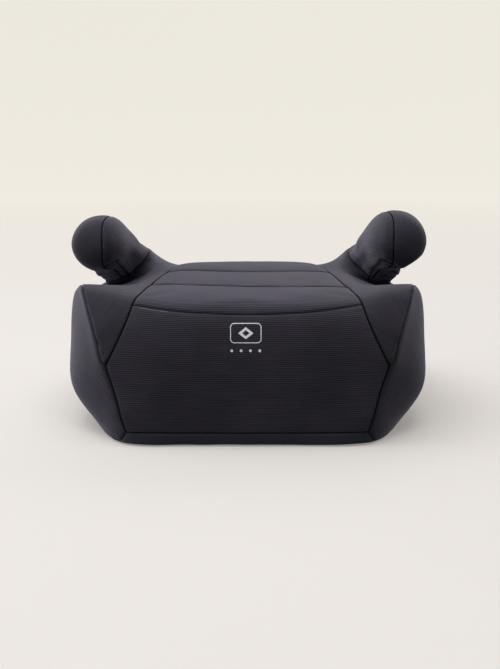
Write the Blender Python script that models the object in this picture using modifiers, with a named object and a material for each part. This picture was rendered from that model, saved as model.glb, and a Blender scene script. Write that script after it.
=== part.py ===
"""Backless booster seat with horn armrests: moulded body, foam pads and a sewn cover.

Metres, +Z up.  The seat stands on z = 0, its front faces -Y and X is its width, so left
is -X and right is +X as seen from the front.  Lengths below are in millimetres and are
turned into metres when a mesh is made.

The whole outside is one smooth skin.  Its coarse cage is fitted so that the smooth
surface passes through the cage's own named points.  Each panel, pad and moulding is a
stretch of that skin given a thickness between two depths below it.
"""

import math

import bmesh
import bpy
from mathutils import Vector

MM = 0.001

# Overall form
WIDEST_Z = 85
SEAM_Z = 15  # where the hem band meets the panels above it
HEM_Z = 1.7  # underside of the turned-in hem
HEM_INSET = 1.5
HEM_TURN = 0.91  # outline of the hem's free edge against that of its fold

# Layers, counted down from the skin
GAP = 0.3
SEW_GAP = 0.25
PAD_GAP = 0.8
LINING_GAP = 1  # between the cover and the pads
SLACK = 3  # between the soft layers and the moulding
COVER = 3.6
SEAT_FOAM = 18
PAD = 5
WING_SPACE = 5
ARM_FOAM = 5.5
ARM_CLEARANCE = 3
CORE_BASE = 100  # the arm's core is made down to here and then trimmed to the moulding
CORE_DRAFT = 0.25  # how far it narrows on the way down
WALL = 3

# How the skin is made from its cage
FIT_ROUNDS = 4
SEAM_CREASE = 0.45
FLAT_ANGLE = 4
MITRE_LIMIT = 0.4

# The seam beside the seat and the outer seam of the gusset both start at the rear edge
# and run forward and down to meet at the gusset's point on the front panel.
#   centre line (y, z), seat seam (x, y, z), outer seam (x, y, z)
STATIONS = (
    ((171, 134), (79, 171, 134.5), (151, 171, 122)),
    ((122, 147), (83, 122, 147), (163, 120, 135)),
    ((72, 154.5), (89, 72, 155), (172, 72, 138)),
    ((28, 157.5), (96, 28, 158), (182, 28, 131)),
    ((-30, 159), (104, -30, 159.5), (189, -30, 136)),
    ((-85, 158.5), (111, -85, 160), (187, -85, 158)),
    ((-128, 157.5), (117.5, -128, 160), (182, -130, 165)),
    ((-160, 154), (123.5, -153, 156), (176, -149, 146)),
    ((-175, 145), (130, -168, 139.5), (169.5, -162, 130)),
    ((-187, 117), (141.5, -176, 114), (163, -171, 112)),
    ((-190, 89), (155, -177.5, 89), (155, -177.5, 89)),
    ((-191, 52), (143, -183, 52), (143, -183, 52)),
    ((-190, 15), (133, -185, 15), (133, -185, 15)),
)
POINT_ROW = 10
MIDDLE_SHARE = 0.52  # where the centre panel's second line of points lies, as a share of its half width
CROWN_SHARE = 0.2  # and how far it has dropped from the centre line towards the seam
CENTER_ZONES = (("seat", 0, 8), ("front", 8, 11), ("skirt", 11, 12))

# Between the two seams: two lines of points under the arm, then one towards the front.
GUSSET_INNER = ((104, 171, 133), (111, 120, 150), (115, 74, 160.5), (119, 28, 154))
GUSSET_OUTER = ((128, 171, 129.5), (139, 120, 145.5), None, (148, 28, 142))
GUSSET_FRONT = (
    (148, -30, 144),
    (150, -86, 160),
    (150, -132, 164.5),
    (150.5, -154, 155),
    (150, -168.5, 134),
)
ARM_PATCH = (147, 72, 147)  # moulded body under the arm

# Side panel columns from rear to front: (y on the hem seam, widest x, x and z on the hem seam)
SIDE_COLUMNS = (
    (178, 156, 142, 13),
    (112, 183, 165, 10),
    (52, 196, 175, 8),
    (-15, 204, 180, 8),
    (-80, 205, 181, 8),
    (-138, 200, 167, 10),
)
SHOULDER_POWER = 14
FLARE_POWER = 3
REAR_ROWS = (0, 0.14, 0.3, 0.47, 0.64, 0.82, 1)
FRONT_ROWS = (0, 0.05, 0.2, 0.39, 0.57, 0.79, 1)
REAR_BULGE = 19.2
REAR_HEM_X = (0, 45, 84, 107, 126)

# Horn: (centre, tilt of the ring from flat to upright, roll towards the outside, half width, half depth,
# seam lean, skew that fills its forward outer corner and flattens the inner one)
ARM_RINGS = (
    ((153, 48, 163.5), 30, 18, 31.5, 30, 0, 0.22),
    ((158.5, 22, 176), 52, 12, 31, 28, 6, 0.18),
    ((165, -16, 194), 72, 5, 29, 30, 14, 0.05),
    ((171.5, -56, 203.5), 85, 0, 30.5, 32, 20, 0),
    ((173, -80, 204.5), 88, 0, 23, 23, 20, 0),
)
ARM_TIP = (164, -91, 204)
ARM_SEAM_LEAN = (-0.5, -1, -0.5, 0, 0.5, 1, 0.5, 0)  # share of the seam lean at each of a ring's points

# Moulded body: tray under it, ribs, feet and arm screws
REACH = 220  # well past the object on every side
ROOM_BASE = -60
TRAY_Z = 12
TRAY_GAP = 1
RIB_WIDTH = 2.5
RIB_BASE = TRAY_Z + WALL + GAP
RIB_X = (-105, 0, 105)
RIB_Y = (-135, 0, 135)
RIB_TOP = 170
FOOT_X = 105
FOOT_Y = 135
FOOT_RADIUS = 13
FOOT_COLUMN = 8
FOOT_STEM = 2.8
FOOT_STEM_TOP = 24
COLUMN_OVER_STEM = 6
SCREW_PLACES = (("front", 147, 52), ("rear", 149, 90))
SCREW_HOLE = 2.4
SCREW_RADIUS = 2.1
SCREW_HEAD = 4.2
SCREW_BOSS = 6.5
SCREW_BOSS_Z = (116, 136)
SCREW_HOLE_Z = (100, 150)
SCREW_TIP_Z = 150
ELASTIC_RADIUS = 1.8
ELASTIC_SCALE = 0.98  # its outline against the hem's free edge

# slot: (base colour, roughness)
LOOKS = {
    "fabric": ((0.02, 0.02, 0.025), 0.85),
    "hem_fabric": ((0.013, 0.014, 0.018), 0.8),
    "foam": ((0.4, 0.4, 0.42), 0.9),
    "shell": ((0.03, 0.03, 0.033), 0.5),
    "steel": ((0.6, 0.6, 0.62), 0.35),
    "rubber": ((0.02, 0.02, 0.02), 0.7),
    "elastic": ((0.03, 0.03, 0.03), 0.8),
}

CENTER = ("seat", "front", "skirt")
PAIRED = ("gusset", "root", "side", "arm_inner", "arm_outer")
SIDES = (("left", -1), ("right", 1))


def lerp(a, b, t):
    return a + (b - a) * t


class Cage:
    """Named points of the right half, and faces tagged with the panel they belong to."""

    def __init__(self):
        self.points = {}
        self.faces = []
        self.creases = set()

    def point(self, key, xyz):
        self.points[key] = Vector(xyz)

    def face(self, panel, *keys):
        unique = [key for i, key in enumerate(keys) if key not in keys[:i]]
        self.faces.append((panel, unique))

    def crease(self, keys):
        """Keeps a seam on its own curve, whatever the panels beside it do."""
        self.creases.update(frozenset(pair) for pair in zip(keys, keys[1:]))

    def grid(self, panel, rows):
        for upper, lower in zip(rows, rows[1:]):
            for i in range(len(upper) - 1):
                self.face(panel, upper[i], lower[i], lower[i + 1], upper[i + 1])


def center_keys(row):
    return [("seat", row, column) for column in range(3)]


def outer_key(row):
    return ("outer", row) if row < POINT_ROW else ("seat", row, 2)


def add_center(cage):
    for row, ((y, z), seam, outer) in enumerate(STATIONS):
        cage.point(("seat", row, 0), (0, y, z))
        drop = (lerp(y, seam[1], CROWN_SHARE), lerp(z, seam[2], CROWN_SHARE))
        cage.point(("seat", row, 1), (seam[0] * MIDDLE_SHARE, *drop))
        cage.point(("seat", row, 2), seam)
        if row < POINT_ROW:
            cage.point(("outer", row), outer)
    for panel, first, last in CENTER_ZONES:
        cage.grid(panel, [center_keys(row) for row in range(first, last + 1)])


def add_gusset(cage):
    for row, xyz in enumerate(GUSSET_INNER):
        cage.point(("inner", row), xyz)
    for row, xyz in enumerate(GUSSET_OUTER):
        if xyz:
            cage.point(("mid", row), xyz)
    for row, xyz in enumerate(GUSSET_FRONT, start=4):
        cage.point(("front", row), xyz)
    rear = [[("seat", row, 2), ("inner", row), ("mid", row), ("outer", row)] for row in (0, 1)]
    cage.grid("gusset", rear)
    cage.grid("gusset", [[("seat", row, 2), ("inner", row)] for row in (1, 2, 3)])
    cage.face("gusset", ("seat", 3, 2), ("seat", 4, 2), ("front", 4), ("inner", 3))
    cage.face("gusset", ("inner", 3), ("front", 4), ("mid", 3))
    cage.face("gusset", ("mid", 3), ("front", 4), ("outer", 4), ("outer", 3))
    cage.grid("gusset", [[("seat", r, 2), ("front", r), ("outer", r)] for r in range(4, 9)])
    cage.face("gusset", ("seat", 8, 2), ("seat", 9, 2), ("outer", 9), ("front", 8))
    cage.face("gusset", ("front", 8), ("outer", 9), ("outer", 8))
    cage.face("gusset", ("seat", 9, 2), ("seat", 10, 2), ("outer", 9))
    cage.crease([outer_key(row) for row in range(5, len(STATIONS))])
    cage.crease([("seat", row, 2) for row in range(5, POINT_ROW + 1)])


def side_key(column, row):
    if row == 0:
        return outer_key(column)
    return ("side", column, row) if column < 6 else outer_key(6 + row)


def side_fraction(column, row):
    """How far down the panel a row lies."""
    return lerp(REAR_ROWS[row], FRONT_ROWS[row], column / 5)


def add_side(cage):
    for column, (hem_y, widest, hem_x, hem_z) in enumerate(SIDE_COLUMNS):
        top = STATIONS[column][2]
        for row in range(1, 7):
            fraction = side_fraction(column, row)
            z = lerp(top[2], hem_z, fraction)
            if z > WIDEST_Z:
                inset = (widest - top[0]) * ((z - WIDEST_Z) / (top[2] - WIDEST_Z)) ** SHOULDER_POWER
            else:
                inset = (widest - hem_x) * ((WIDEST_Z - z) / (WIDEST_Z - hem_z)) ** FLARE_POWER
            cage.point(("side", column, row), (widest - inset, lerp(top[1], hem_y, fraction), z))
    cage.grid("side", [[side_key(column, row) for column in range(6, -1, -1)] for row in range(7)])


def rear_keys(row):
    if row == 0:
        return [("seat", 0, 0), ("seat", 0, 1), ("seat", 0, 2), ("inner", 0), ("mid", 0), ("outer", 0)]
    return [("rear", column, row) for column in range(5)] + [side_key(0, row)]


def add_rear(cage):
    for row in range(1, 7):
        fraction = REAR_ROWS[row]
        corner = cage.points[("side", 0, row)]
        for column, key in enumerate(rear_keys(0)[:5]):
            top = cage.points[key]
            y = STATIONS[0][0][0] + REAR_BULGE * math.sin(min(fraction * 2.5, 1) * math.pi / 2)
            hem_x = REAR_HEM_X[column]
            rounded = (hem_x / REAR_HEM_X[-1]) ** 3
            cage.point(
                ("rear", column, row),
                (
                    lerp(top.x, hem_x, fraction),
                    lerp(y, corner.y + 3, rounded),
                    lerp(top.z, SEAM_Z, fraction),
                ),
            )
    cage.grid("rear", [rear_keys(row)[::-1] for row in range(7)])


def add_hem(cage):
    """A band down from the hem seam, turned in under the body."""
    last = len(STATIONS) - 1
    front = center_keys(last)
    sides = [side_key(column, 6) for column in range(5, -1, -1)]
    rear = rear_keys(6)[4::-1]
    ring = front + sides + rear
    above = center_keys(last - 1)
    above += [side_key(column, 5) for column in range(5, -1, -1)]
    above += rear_keys(5)[4::-1]
    line = [cage.points[key] for key in ring]
    for i, at in enumerate(line):
        before = line[i - 1] if i else Vector((-line[1].x, line[1].y, 0))
        after = line[i + 1] if i + 1 < len(line) else Vector((-line[i - 1].x, line[i - 1].y, 0))
        inward = Vector((before.y - after.y, after.x - before.x, 0)).normalized()
        over = cage.points[above[i]]
        slope = max(0, (at - over).dot(inward)) / (over.z - at.z)
        low = at + inward * (HEM_INSET + slope * (at.z - HEM_Z) * 0.75)
        cage.point(("low", i), (low.x, low.y, HEM_Z))
        cage.point(("turn", i), (low.x * HEM_TURN, low.y * HEM_TURN, HEM_Z))
    low = [("low", i) for i in range(len(ring))]
    turned = [("turn", i) for i in range(len(ring))]
    cage.grid("hem", [ring, low])
    cage.grid("turn", [low, turned])


def arm_root():
    front = [("inner", 3), ("mid", 3), ("outer", 3), ("outer", 2)]
    return front + [("outer", 1), ("mid", 1), ("inner", 1), ("inner", 2)]


def add_arm(cage):
    """A tube of eight-point rings from the gusset to the round tip."""
    rings = [arm_root()]
    for number, (center, tilt, roll, half_width, half_depth, lean, skew) in enumerate(ARM_RINGS, start=1):
        across = Vector((math.cos(math.radians(roll)), 0, -math.sin(math.radians(roll))))
        back = Vector((0, math.cos(math.radians(tilt)), math.sin(math.radians(tilt))))
        for i in range(8):
            angle = math.radians(45 * (i - 3) + lean * ARM_SEAM_LEAN[i])
            offset = across * half_width * math.cos(angle) + back * half_depth * math.sin(angle)
            corner = {0: 1 - skew, 2: 1 + 0.7 * skew}.get(i, 1)
            cage.point(("arm", number, i), Vector(center) + offset * corner)
        rings.append([("arm", number, i) for i in range(8)])
    cage.point(("tip",), ARM_TIP)
    sleeve = ["arm_inner"] + ["arm_outer"] * 4 + ["arm_inner"] * 3
    for number, (lower, upper) in enumerate(zip(rings, rings[1:])):
        for i in range(8):
            j = (i + 1) % 8
            cage.face(sleeve[i] if number else "root", lower[i], lower[j], upper[j], upper[i])
    end = rings[-1]
    for i in (1, 3, 5, 7):
        panel = "arm_outer" if i in (1, 3) else "arm_inner"
        cage.face(panel, end[i], end[(i + 1) % 8], end[(i + 2) % 8], ("tip",))


def add_patch(cage):
    """Closes the skin where the arm would stand."""
    cage.point(("patch",), ARM_PATCH)
    root = arm_root()
    for i in (1, 3, 5, 7):
        cage.face("gusset", root[i], root[(i + 1) % 8], root[(i + 2) % 8], ("patch",))


def build_cage(with_arms):
    cage = Cage()
    add_center(cage)
    add_gusset(cage)
    add_side(cage)
    add_rear(cage)
    add_hem(cage)
    if with_arms:
        add_arm(cage)
    else:
        add_patch(cage)
    return cage


def shell_depth(key):
    """How far the moulded body lies below the skin at a point of the cage."""
    kind, row = key[0], key[1] if len(key) > 1 else 0
    if kind == "seat" and row <= 8:
        return COVER + SEAT_FOAM + SLACK
    if kind == "seat" and row <= 11:
        return COVER + PAD + SLACK
    if kind in ("inner", "mid", "front", "patch"):
        return COVER + PAD + WING_SPACE
    if kind == "outer":
        return COVER + PAD + SLACK
    return COVER + SLACK


def cage_mesh(cage):
    """Both halves of the cage as one mesh, the panel names in the order its faces use, and its targets."""
    mesh = bpy.data.meshes.new("cage")
    work = bmesh.new()
    depths = work.verts.layers.float.new("depth")
    creases = work.edges.layers.float.new("crease_edge")
    names = []
    targets = []
    made = {}
    for side in (1, -1):
        for key, at in cage.points.items():
            if side == -1 and abs(at.x) < 1e-6:
                made[key, side] = made[key, 1]
                continue
            place = Vector((at.x * side, at.y, at.z)) * MM
            vertex = work.verts.new(place)
            vertex[depths] = shell_depth(key)
            made[key, side] = vertex
            targets.append(place)
    for side, suffix in ((1, "_right"), (-1, "_left")):
        for panel, keys in cage.faces:
            name = panel + suffix if panel in PAIRED else panel
            if name not in names:
                names.append(name)
            face = work.faces.new([made[key, side] for key in keys][::side])
            face.material_index = names.index(name)
            for i, key in enumerate(keys):
                if frozenset((key, keys[i - 1])) in cage.creases:
                    work.edges.get((made[key, side], made[keys[i - 1], side]))[creases] = SEAM_CREASE
    bmesh.ops.recalc_face_normals(work, faces=work.faces[:])
    work.to_mesh(mesh)
    work.free()
    return mesh, names, targets


def evaluated(obj):
    bpy.context.view_layer.update()
    return obj.evaluated_get(bpy.context.evaluated_depsgraph_get())


def fitted_skin(cage, levels):
    """The smooth skin through the cage's points, as a mesh of the given fineness."""
    mesh, names, targets = cage_mesh(cage)
    for name in names:
        mesh.materials.append(None)
    guide = bpy.data.objects.new("skin_guide", mesh)
    bpy.context.scene.collection.objects.link(guide)
    subsurf = guide.modifiers.new("smooth", "SUBSURF")
    subsurf.levels = subsurf.render_levels = 3
    for _ in range(FIT_ROUNDS):
        surface = evaluated(guide).data
        for vertex, target in zip(mesh.vertices, targets):
            vertex.co += target - surface.vertices[vertex.index].co
        mesh.update()
    subsurf.levels = subsurf.render_levels = levels
    skin = bpy.data.meshes.new_from_object(evaluated(guide))
    bpy.data.objects.remove(guide)
    return skin, names


class Skin:
    """A fitted skin in millimetres, in triangles: places, outward normals and each triangle's panel."""

    def __init__(self, with_arms):
        mesh, self.names = fitted_skin(build_cage(with_arms), 1)
        work = bmesh.new()
        work.from_mesh(mesh)
        bpy.data.meshes.remove(mesh)
        bmesh.ops.dissolve_limit(
            work,
            angle_limit=math.radians(FLAT_ANGLE),
            verts=work.verts[:],
            edges=work.edges[:],
            delimit={"MATERIAL"},
        )
        bmesh.ops.triangulate(work, faces=work.faces[:])
        work.normal_update()
        work.verts.index_update()
        depths = work.verts.layers.float["depth"]
        self.places = [vertex.co / MM for vertex in work.verts]
        self.normals = [vertex.normal.copy() for vertex in work.verts]
        self.depths = [vertex[depths] for vertex in work.verts]
        self.faces = [
            (self.names[face.material_index], tuple(vertex.index for vertex in face.verts))
            for face in work.faces
        ]
        work.free()

    def region(self, panels):
        return [corners for panel, corners in self.faces if panel in panels]

    def below(self, index, depth):
        return self.places[index] - self.normals[index] * depth


def rim_edges(faces):
    """The edges that only one face uses, in that face's direction."""
    edges = {(face[i - 1], face[i]) for face in faces for i in range(len(face))}
    return sorted((a, b) for a, b in edges if (b, a) not in edges)


def scene_collection(name, hidden=False):
    collection = bpy.data.collections.new(name)
    collection.hide_render = hidden
    bpy.context.scene.collection.children.link(collection)
    return collection


def material(slot):
    found = bpy.data.materials.get(slot)
    if found:
        return found
    color, roughness = LOOKS[slot]
    made = bpy.data.materials.new(slot)
    made.use_nodes = True
    shader = made.node_tree.nodes["Principled BSDF"]
    shader.inputs["Base Color"].default_value = (*color, 1)
    shader.inputs["Roughness"].default_value = roughness
    shader.inputs["Metallic"].default_value = 1.0 if slot == "steel" else 0.0
    return made


def mesh_object(name, points, faces, collection, slot=None):
    """A closed mesh object from points in millimetres, with its faces turned outwards."""
    work = bmesh.new()
    corners = [work.verts.new(Vector(point) * MM) for point in points]
    for face in faces:
        work.faces.new([corners[i] for i in face])
    bmesh.ops.recalc_face_normals(work, faces=work.faces[:])
    mesh = bpy.data.meshes.new(name)
    work.to_mesh(mesh)
    work.free()
    obj = bpy.data.objects.new(name, mesh)
    collection.objects.link(obj)
    if slot:
        mesh.materials.append(material(slot))
        mesh.shade_smooth()
        mesh.set_sharp_from_angle(angle=math.radians(40))
    return obj


def rim_directions(skin, faces):
    """At each rim point, the step along the skin that moves both of its rim edges inwards by one."""
    sides = {}
    for a, b in rim_edges(faces):
        edge = (skin.places[b] - skin.places[a]).normalized()
        for index in (a, b):
            sides.setdefault(index, []).append(skin.normals[index].cross(edge).normalized())
    steps = {}
    for index, found in sides.items():
        middle = sum(found, Vector()).normalized()
        steps[index] = middle / max(MITRE_LIMIT, middle.dot(found[0]))
    return steps


def layer(name, skin, panels, top, bottom, slot, collection):
    """A closed solid between two depths below some panels, with a gap to its neighbours at its rim."""
    gap = PAD_GAP if slot == "foam" else SEW_GAP
    faces = skin.region(panels)
    inward = rim_directions(skin, faces)
    used = sorted({index for face in faces for index in face})
    order = {index: i for i, index in enumerate(used)}
    points = []
    for depth in (top, bottom):
        for index in used:
            at = skin.below(index, depth(index) if callable(depth) else depth)
            points.append(at + inward.get(index, Vector()) * gap)
    under = len(used)
    solid = [[order[i] for i in face] for face in faces]
    solid += [[order[i] + under for i in reversed(face)] for face in faces]
    for a, b in rim_edges(faces):
        first, second = sorted((order[a], order[b]))
        solid.append([first, second, first + under])
        solid.append([second, second + under, first + under])
    return mesh_object(name, points, solid, collection, slot)


def box(name, low, high, collection, slot=None):
    corners = [(x, y, z) for x in (low[0], high[0]) for y in (low[1], high[1]) for z in (low[2], high[2])]
    faces = ((0, 1, 3, 2), (4, 6, 7, 5), (0, 4, 5, 1), (2, 3, 7, 6), (0, 2, 6, 4), (1, 5, 7, 3))
    return mesh_object(name, corners, faces, collection, slot)


def turned(name, at, profile, collection, slot=None, steps=12):
    """A solid turned about the vertical through a place, from (radius, height) pairs, top to bottom."""
    mesh = bpy.data.meshes.new(name)
    points = [(radius * MM, 0, height * MM) for radius, height in profile]
    mesh.from_pydata(points, [(i, i + 1) for i in range(len(points) - 1)], [])
    obj = bpy.data.objects.new(name, mesh)
    obj.location = Vector(at) * MM
    collection.objects.link(obj)
    screw = obj.modifiers.new("turn", "SCREW")
    screw.steps = screw.render_steps = steps
    screw.use_merge_vertices = True
    screw.merge_threshold = 1e-5
    if slot:
        mesh.materials.append(material(slot))
    return obj


def rod(radius, bottom, top):
    return [(0, top), (radius, top), (radius, bottom), (0, bottom)]


def cut(obj, cutter, operation="DIFFERENCE"):
    modifier = obj.modifiers.new(cutter.name, "BOOLEAN")
    modifier.operation = operation
    modifier.solver = "MANIFOLD"
    modifier.object = cutter
    cutter.display_type = "WIRE"
    cutter.hide_render = True


def make_cover(skin, parts):
    layer("cover_center", skin, CENTER, 0, COVER, "fabric", parts)
    layer("cover_rear", skin, ("rear",), 0, COVER, "fabric", parts)
    layer("cover_hem", skin, ("hem", "turn"), 0, COVER, "hem_fabric", parts)
    for side, _ in SIDES:
        gusset = ("gusset_" + side, "root_" + side)
        layer("cover_gusset_" + side, skin, gusset, 0, COVER, "fabric", parts)
        layer("cover_side_" + side, skin, ("side_" + side,), 0, COVER, "fabric", parts)
        for half in ("inner", "outer"):
            panel = "arm_" + half + "_" + side
            layer("arm_cover_" + half + "_" + side, skin, (panel,), 0, COVER, "fabric", parts)


def make_foam(skin, parts):
    top = COVER + LINING_GAP
    layer("seat_foam", skin, ("seat",), top, top + SEAT_FOAM, "foam", parts)
    layer("front_pad", skin, ("front",), top, top + PAD, "foam", parts)
    for side, _ in SIDES:
        layer("wing_pad_" + side, skin, ("gusset_" + side,), top, top + PAD, "foam", parts)
        layer("arm_foam_" + side, skin, arm_panels(side), top, top + ARM_FOAM, "foam", parts)


def arm_panels(side):
    return ("root_" + side, "arm_inner_" + side, "arm_outer_" + side)


def make_shell(body, parts, cutters):
    """Thin moulding under the pads, open below, with crossing ribs, foot sockets and screw bosses."""
    shell = layer(
        "base_shell",
        body,
        moulded(body),
        lambda index: body.depths[index],
        lambda index: body.depths[index] + WALL,
        "shell",
        parts,
    )
    room = inside_of("room", body, WALL / 2, cutters)
    ribs = rib_lattice(cutters)
    cut(ribs, room, "INTERSECT")
    cut(shell, ribs, "UNION")
    for side, sign in SIDES:
        for place, x, y in SCREW_PLACES:
            at = (sign * x, y, 0)
            boss = turned(
                "screw_boss_" + side + "_" + place,
                at,
                rod(SCREW_BOSS, *SCREW_BOSS_Z),
                cutters,
            )
            cut(boss, room, "INTERSECT")
            cut(shell, boss, "UNION")
            hole = rod(SCREW_HOLE, *SCREW_HOLE_Z)
            cut(shell, turned("screw_hole_" + side + "_" + place, at, hole, cutters))
    return shell


def moulded(body):
    return [name for name in body.names if name != "turn"]


def inside_of(name, body, depth, cutters):
    """The room inside a surface at a depth below the moulding's outside, closed far below."""
    faces = body.region(moulded(body))
    points = [body.below(i, body.depths[i] + depth) for i in range(len(body.places))]
    floor = len(points)
    points.append(Vector((0, 0, ROOM_BASE)))
    return mesh_object(name, points, faces + [(b, a, floor) for a, b in rim_edges(faces)], cutters)


def rib_lattice(cutters):
    half = RIB_WIDTH / 2
    bars = [((x - half, -REACH, RIB_BASE), (x + half, REACH, RIB_TOP)) for x in RIB_X]
    bars += [((-REACH, y - half, RIB_BASE), (REACH, y + half, RIB_TOP - 1)) for y in RIB_Y]
    ribs = box("ribs", *bars[0], cutters)
    for i, bar in enumerate(bars[1:], start=1):
        cut(ribs, box("rib_%d" % i, *bar, cutters), "UNION")
    top = FOOT_STEM_TOP + COLUMN_OVER_STEM
    column = rod(FOOT_COLUMN, RIB_BASE, top)
    for x in (-FOOT_X, FOOT_X):
        for y in (-FOOT_Y, FOOT_Y):
            cut(ribs, turned("foot_column_%d_%d" % (x, y), (x, y, 0), column, cutters), "UNION")
    return ribs


def make_tray(body, shell, parts, cutters):
    """A flat floor inside the moulding's lower edge, held by the stems of the feet."""
    tray = box("base_tray", (-REACH, -REACH, TRAY_Z), (REACH, REACH, TRAY_Z + WALL), parts, "shell")
    cut(tray, inside_of("tray_room", body, WALL + TRAY_GAP, cutters), "INTERSECT")
    socket = rod(FOOT_STEM + GAP, 0, FOOT_STEM_TOP + GAP)
    for side, sign in SIDES:
        for end, y in (("front", -FOOT_Y), ("rear", FOOT_Y)):
            hole = turned("socket_" + side + "_" + end, (sign * FOOT_X, y, 0), socket, cutters)
            cut(shell, hole)
            cut(tray, hole)


def make_arm_cores(skin, body, parts, cutters):
    """A solid horn under each arm's foam, standing on the moulding."""
    seat = inside_of("arm_seat", body, -GAP, cutters)
    depth = COVER + LINING_GAP + ARM_FOAM + ARM_CLEARANCE
    for side, sign in SIDES:
        faces = skin.region(arm_panels(side))
        used = sorted({index for face in faces for index in face})
        order = {index: i for i, index in enumerate(used)}
        points = [skin.below(index, depth) for index in used]
        solid = [[order[i] for i in face] for face in faces]
        rim = rim_edges(faces)
        foot = [skin.below(a, depth) for a, _ in rim]
        middle = sum(foot, Vector()) / len(foot)
        below = {}
        for (a, _), at in zip(rim, foot):
            below[a] = len(points)
            drawn = at.lerp(middle, CORE_DRAFT)
            points.append(Vector((drawn.x, drawn.y, CORE_BASE)))
        points.append(Vector((middle.x, middle.y, CORE_BASE)))
        for a, b in rim:
            solid.append([order[b], order[a], below[a]])
            solid.append([order[b], below[a], below[b]])
            solid.append([below[b], below[a], len(points) - 1])
        core = mesh_object("arm_core_" + side, points, solid, parts, "shell")
        cut(core, seat)
        for place, x, y in SCREW_PLACES:
            hole = rod(SCREW_HOLE, SCREW_HOLE_Z[0], SCREW_TIP_Z + 2)
            cut(core, turned("pilot_" + side + "_" + place, (sign * x, y, 0), hole, cutters))


def make_screws(parts):
    head = SCREW_BOSS_Z[0] - GAP
    profile = [(0, SCREW_TIP_Z), (SCREW_RADIUS, SCREW_TIP_Z - 3), (SCREW_RADIUS, head)]
    profile += [(SCREW_HEAD, head), (SCREW_HEAD, head - 2), (0, head - 3)]
    for side, sign in SIDES:
        for place, x, y in SCREW_PLACES:
            turned("arm_screw_" + side + "_" + place, (sign * x, y, 0), profile, parts, "steel")


def make_feet(parts):
    pad = TRAY_Z - GAP
    profile = [(0, FOOT_STEM_TOP), (FOOT_STEM, FOOT_STEM_TOP), (FOOT_STEM, pad), (FOOT_RADIUS, pad)]
    profile += [(FOOT_RADIUS, 1.2), (FOOT_RADIUS - 1.2, 0), (0, 0)]
    for side, sign in SIDES:
        for end, y in (("front", -FOOT_Y), ("rear", FOOT_Y)):
            turned("foot_" + end + "_" + side, (sign * FOOT_X, y, 0), profile, parts, "rubber", steps=16)


def make_elastic(skin, parts):
    """A closed cord lying just inside the free edge of the turned-in hem."""
    following = dict(rim_edges(skin.region(skin.names)))
    index = start = next(iter(following))
    route = []
    while True:
        at = skin.places[index]
        route.append((at.x * ELASTIC_SCALE, at.y * ELASTIC_SCALE, at.z + ELASTIC_RADIUS))
        index = following[index]
        if index == start:
            break
    curve = bpy.data.curves.new("hem_elastic", "CURVE")
    curve.dimensions = "3D"
    curve.bevel_depth = ELASTIC_RADIUS * MM
    curve.bevel_resolution = 1
    spline = curve.splines.new("POLY")
    spline.points.add(len(route) - 1)
    for point, at in zip(spline.points, route):
        point.co = (*(Vector(at) * MM), 1)
    spline.use_cyclic_u = True
    obj = bpy.data.objects.new("hem_elastic", curve)
    parts.objects.link(obj)
    curve.materials.append(material("elastic"))


def main():
    for obj in list(bpy.data.objects):
        bpy.data.objects.remove(obj)
    parts = scene_collection("booster_seat")
    cutters = scene_collection("cutters", hidden=True)
    skin = Skin(with_arms=True)
    body = Skin(with_arms=False)
    make_cover(skin, parts)
    make_foam(skin, parts)
    shell = make_shell(body, parts, cutters)
    make_tray(body, shell, parts, cutters)
    make_arm_cores(skin, body, parts, cutters)
    make_screws(parts)
    make_feet(parts)
    make_elastic(skin, parts)


main()
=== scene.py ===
"""Looks of the backless booster seat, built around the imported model.

The whole cover is one smooth skin on the model's cage, settled by a cloth simulation with
its seams held.  It is then cut along the seams into sewn panels, with rolled edges,
quilting channels, gathers and stitches.  Lengths are in millimetres until a mesh is made.
"""

import math

import bmesh
import bpy
import numpy as np
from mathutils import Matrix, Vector
from mathutils.bvhtree import BVHTree
from mathutils.kdtree import KDTree


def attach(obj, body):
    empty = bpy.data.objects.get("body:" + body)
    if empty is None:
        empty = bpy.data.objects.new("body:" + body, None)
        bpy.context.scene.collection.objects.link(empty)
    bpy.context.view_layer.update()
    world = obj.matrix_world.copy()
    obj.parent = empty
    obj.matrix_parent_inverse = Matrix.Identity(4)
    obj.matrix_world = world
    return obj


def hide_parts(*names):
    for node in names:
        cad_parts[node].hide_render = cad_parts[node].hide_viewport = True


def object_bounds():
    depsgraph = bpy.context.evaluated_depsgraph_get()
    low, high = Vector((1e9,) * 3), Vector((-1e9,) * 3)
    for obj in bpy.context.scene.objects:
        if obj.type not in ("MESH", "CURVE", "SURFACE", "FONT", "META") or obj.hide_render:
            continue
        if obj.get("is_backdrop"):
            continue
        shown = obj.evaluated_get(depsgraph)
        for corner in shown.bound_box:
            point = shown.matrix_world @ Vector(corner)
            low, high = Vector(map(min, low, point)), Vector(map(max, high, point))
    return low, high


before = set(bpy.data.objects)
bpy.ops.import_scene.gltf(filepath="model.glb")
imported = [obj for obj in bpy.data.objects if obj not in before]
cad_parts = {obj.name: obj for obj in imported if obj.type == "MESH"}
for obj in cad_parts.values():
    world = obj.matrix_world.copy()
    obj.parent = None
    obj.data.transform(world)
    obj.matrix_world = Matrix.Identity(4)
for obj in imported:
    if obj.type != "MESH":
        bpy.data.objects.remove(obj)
cad_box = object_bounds()

MM = 0.001

# Overall form
WIDEST_Z = 85
SEAM_Z = 15  # where the hem band meets the panels above it
HEM_Z = 1.7  # underside of the turned-in hem
HEM_INSET = 1.5
HEM_TURN = 0.91  # outline of the hem's free edge against that of its fold

FIT_ROUNDS = 4
FIT_LEVELS = 3
SEAM_CREASE = 0.45

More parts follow.
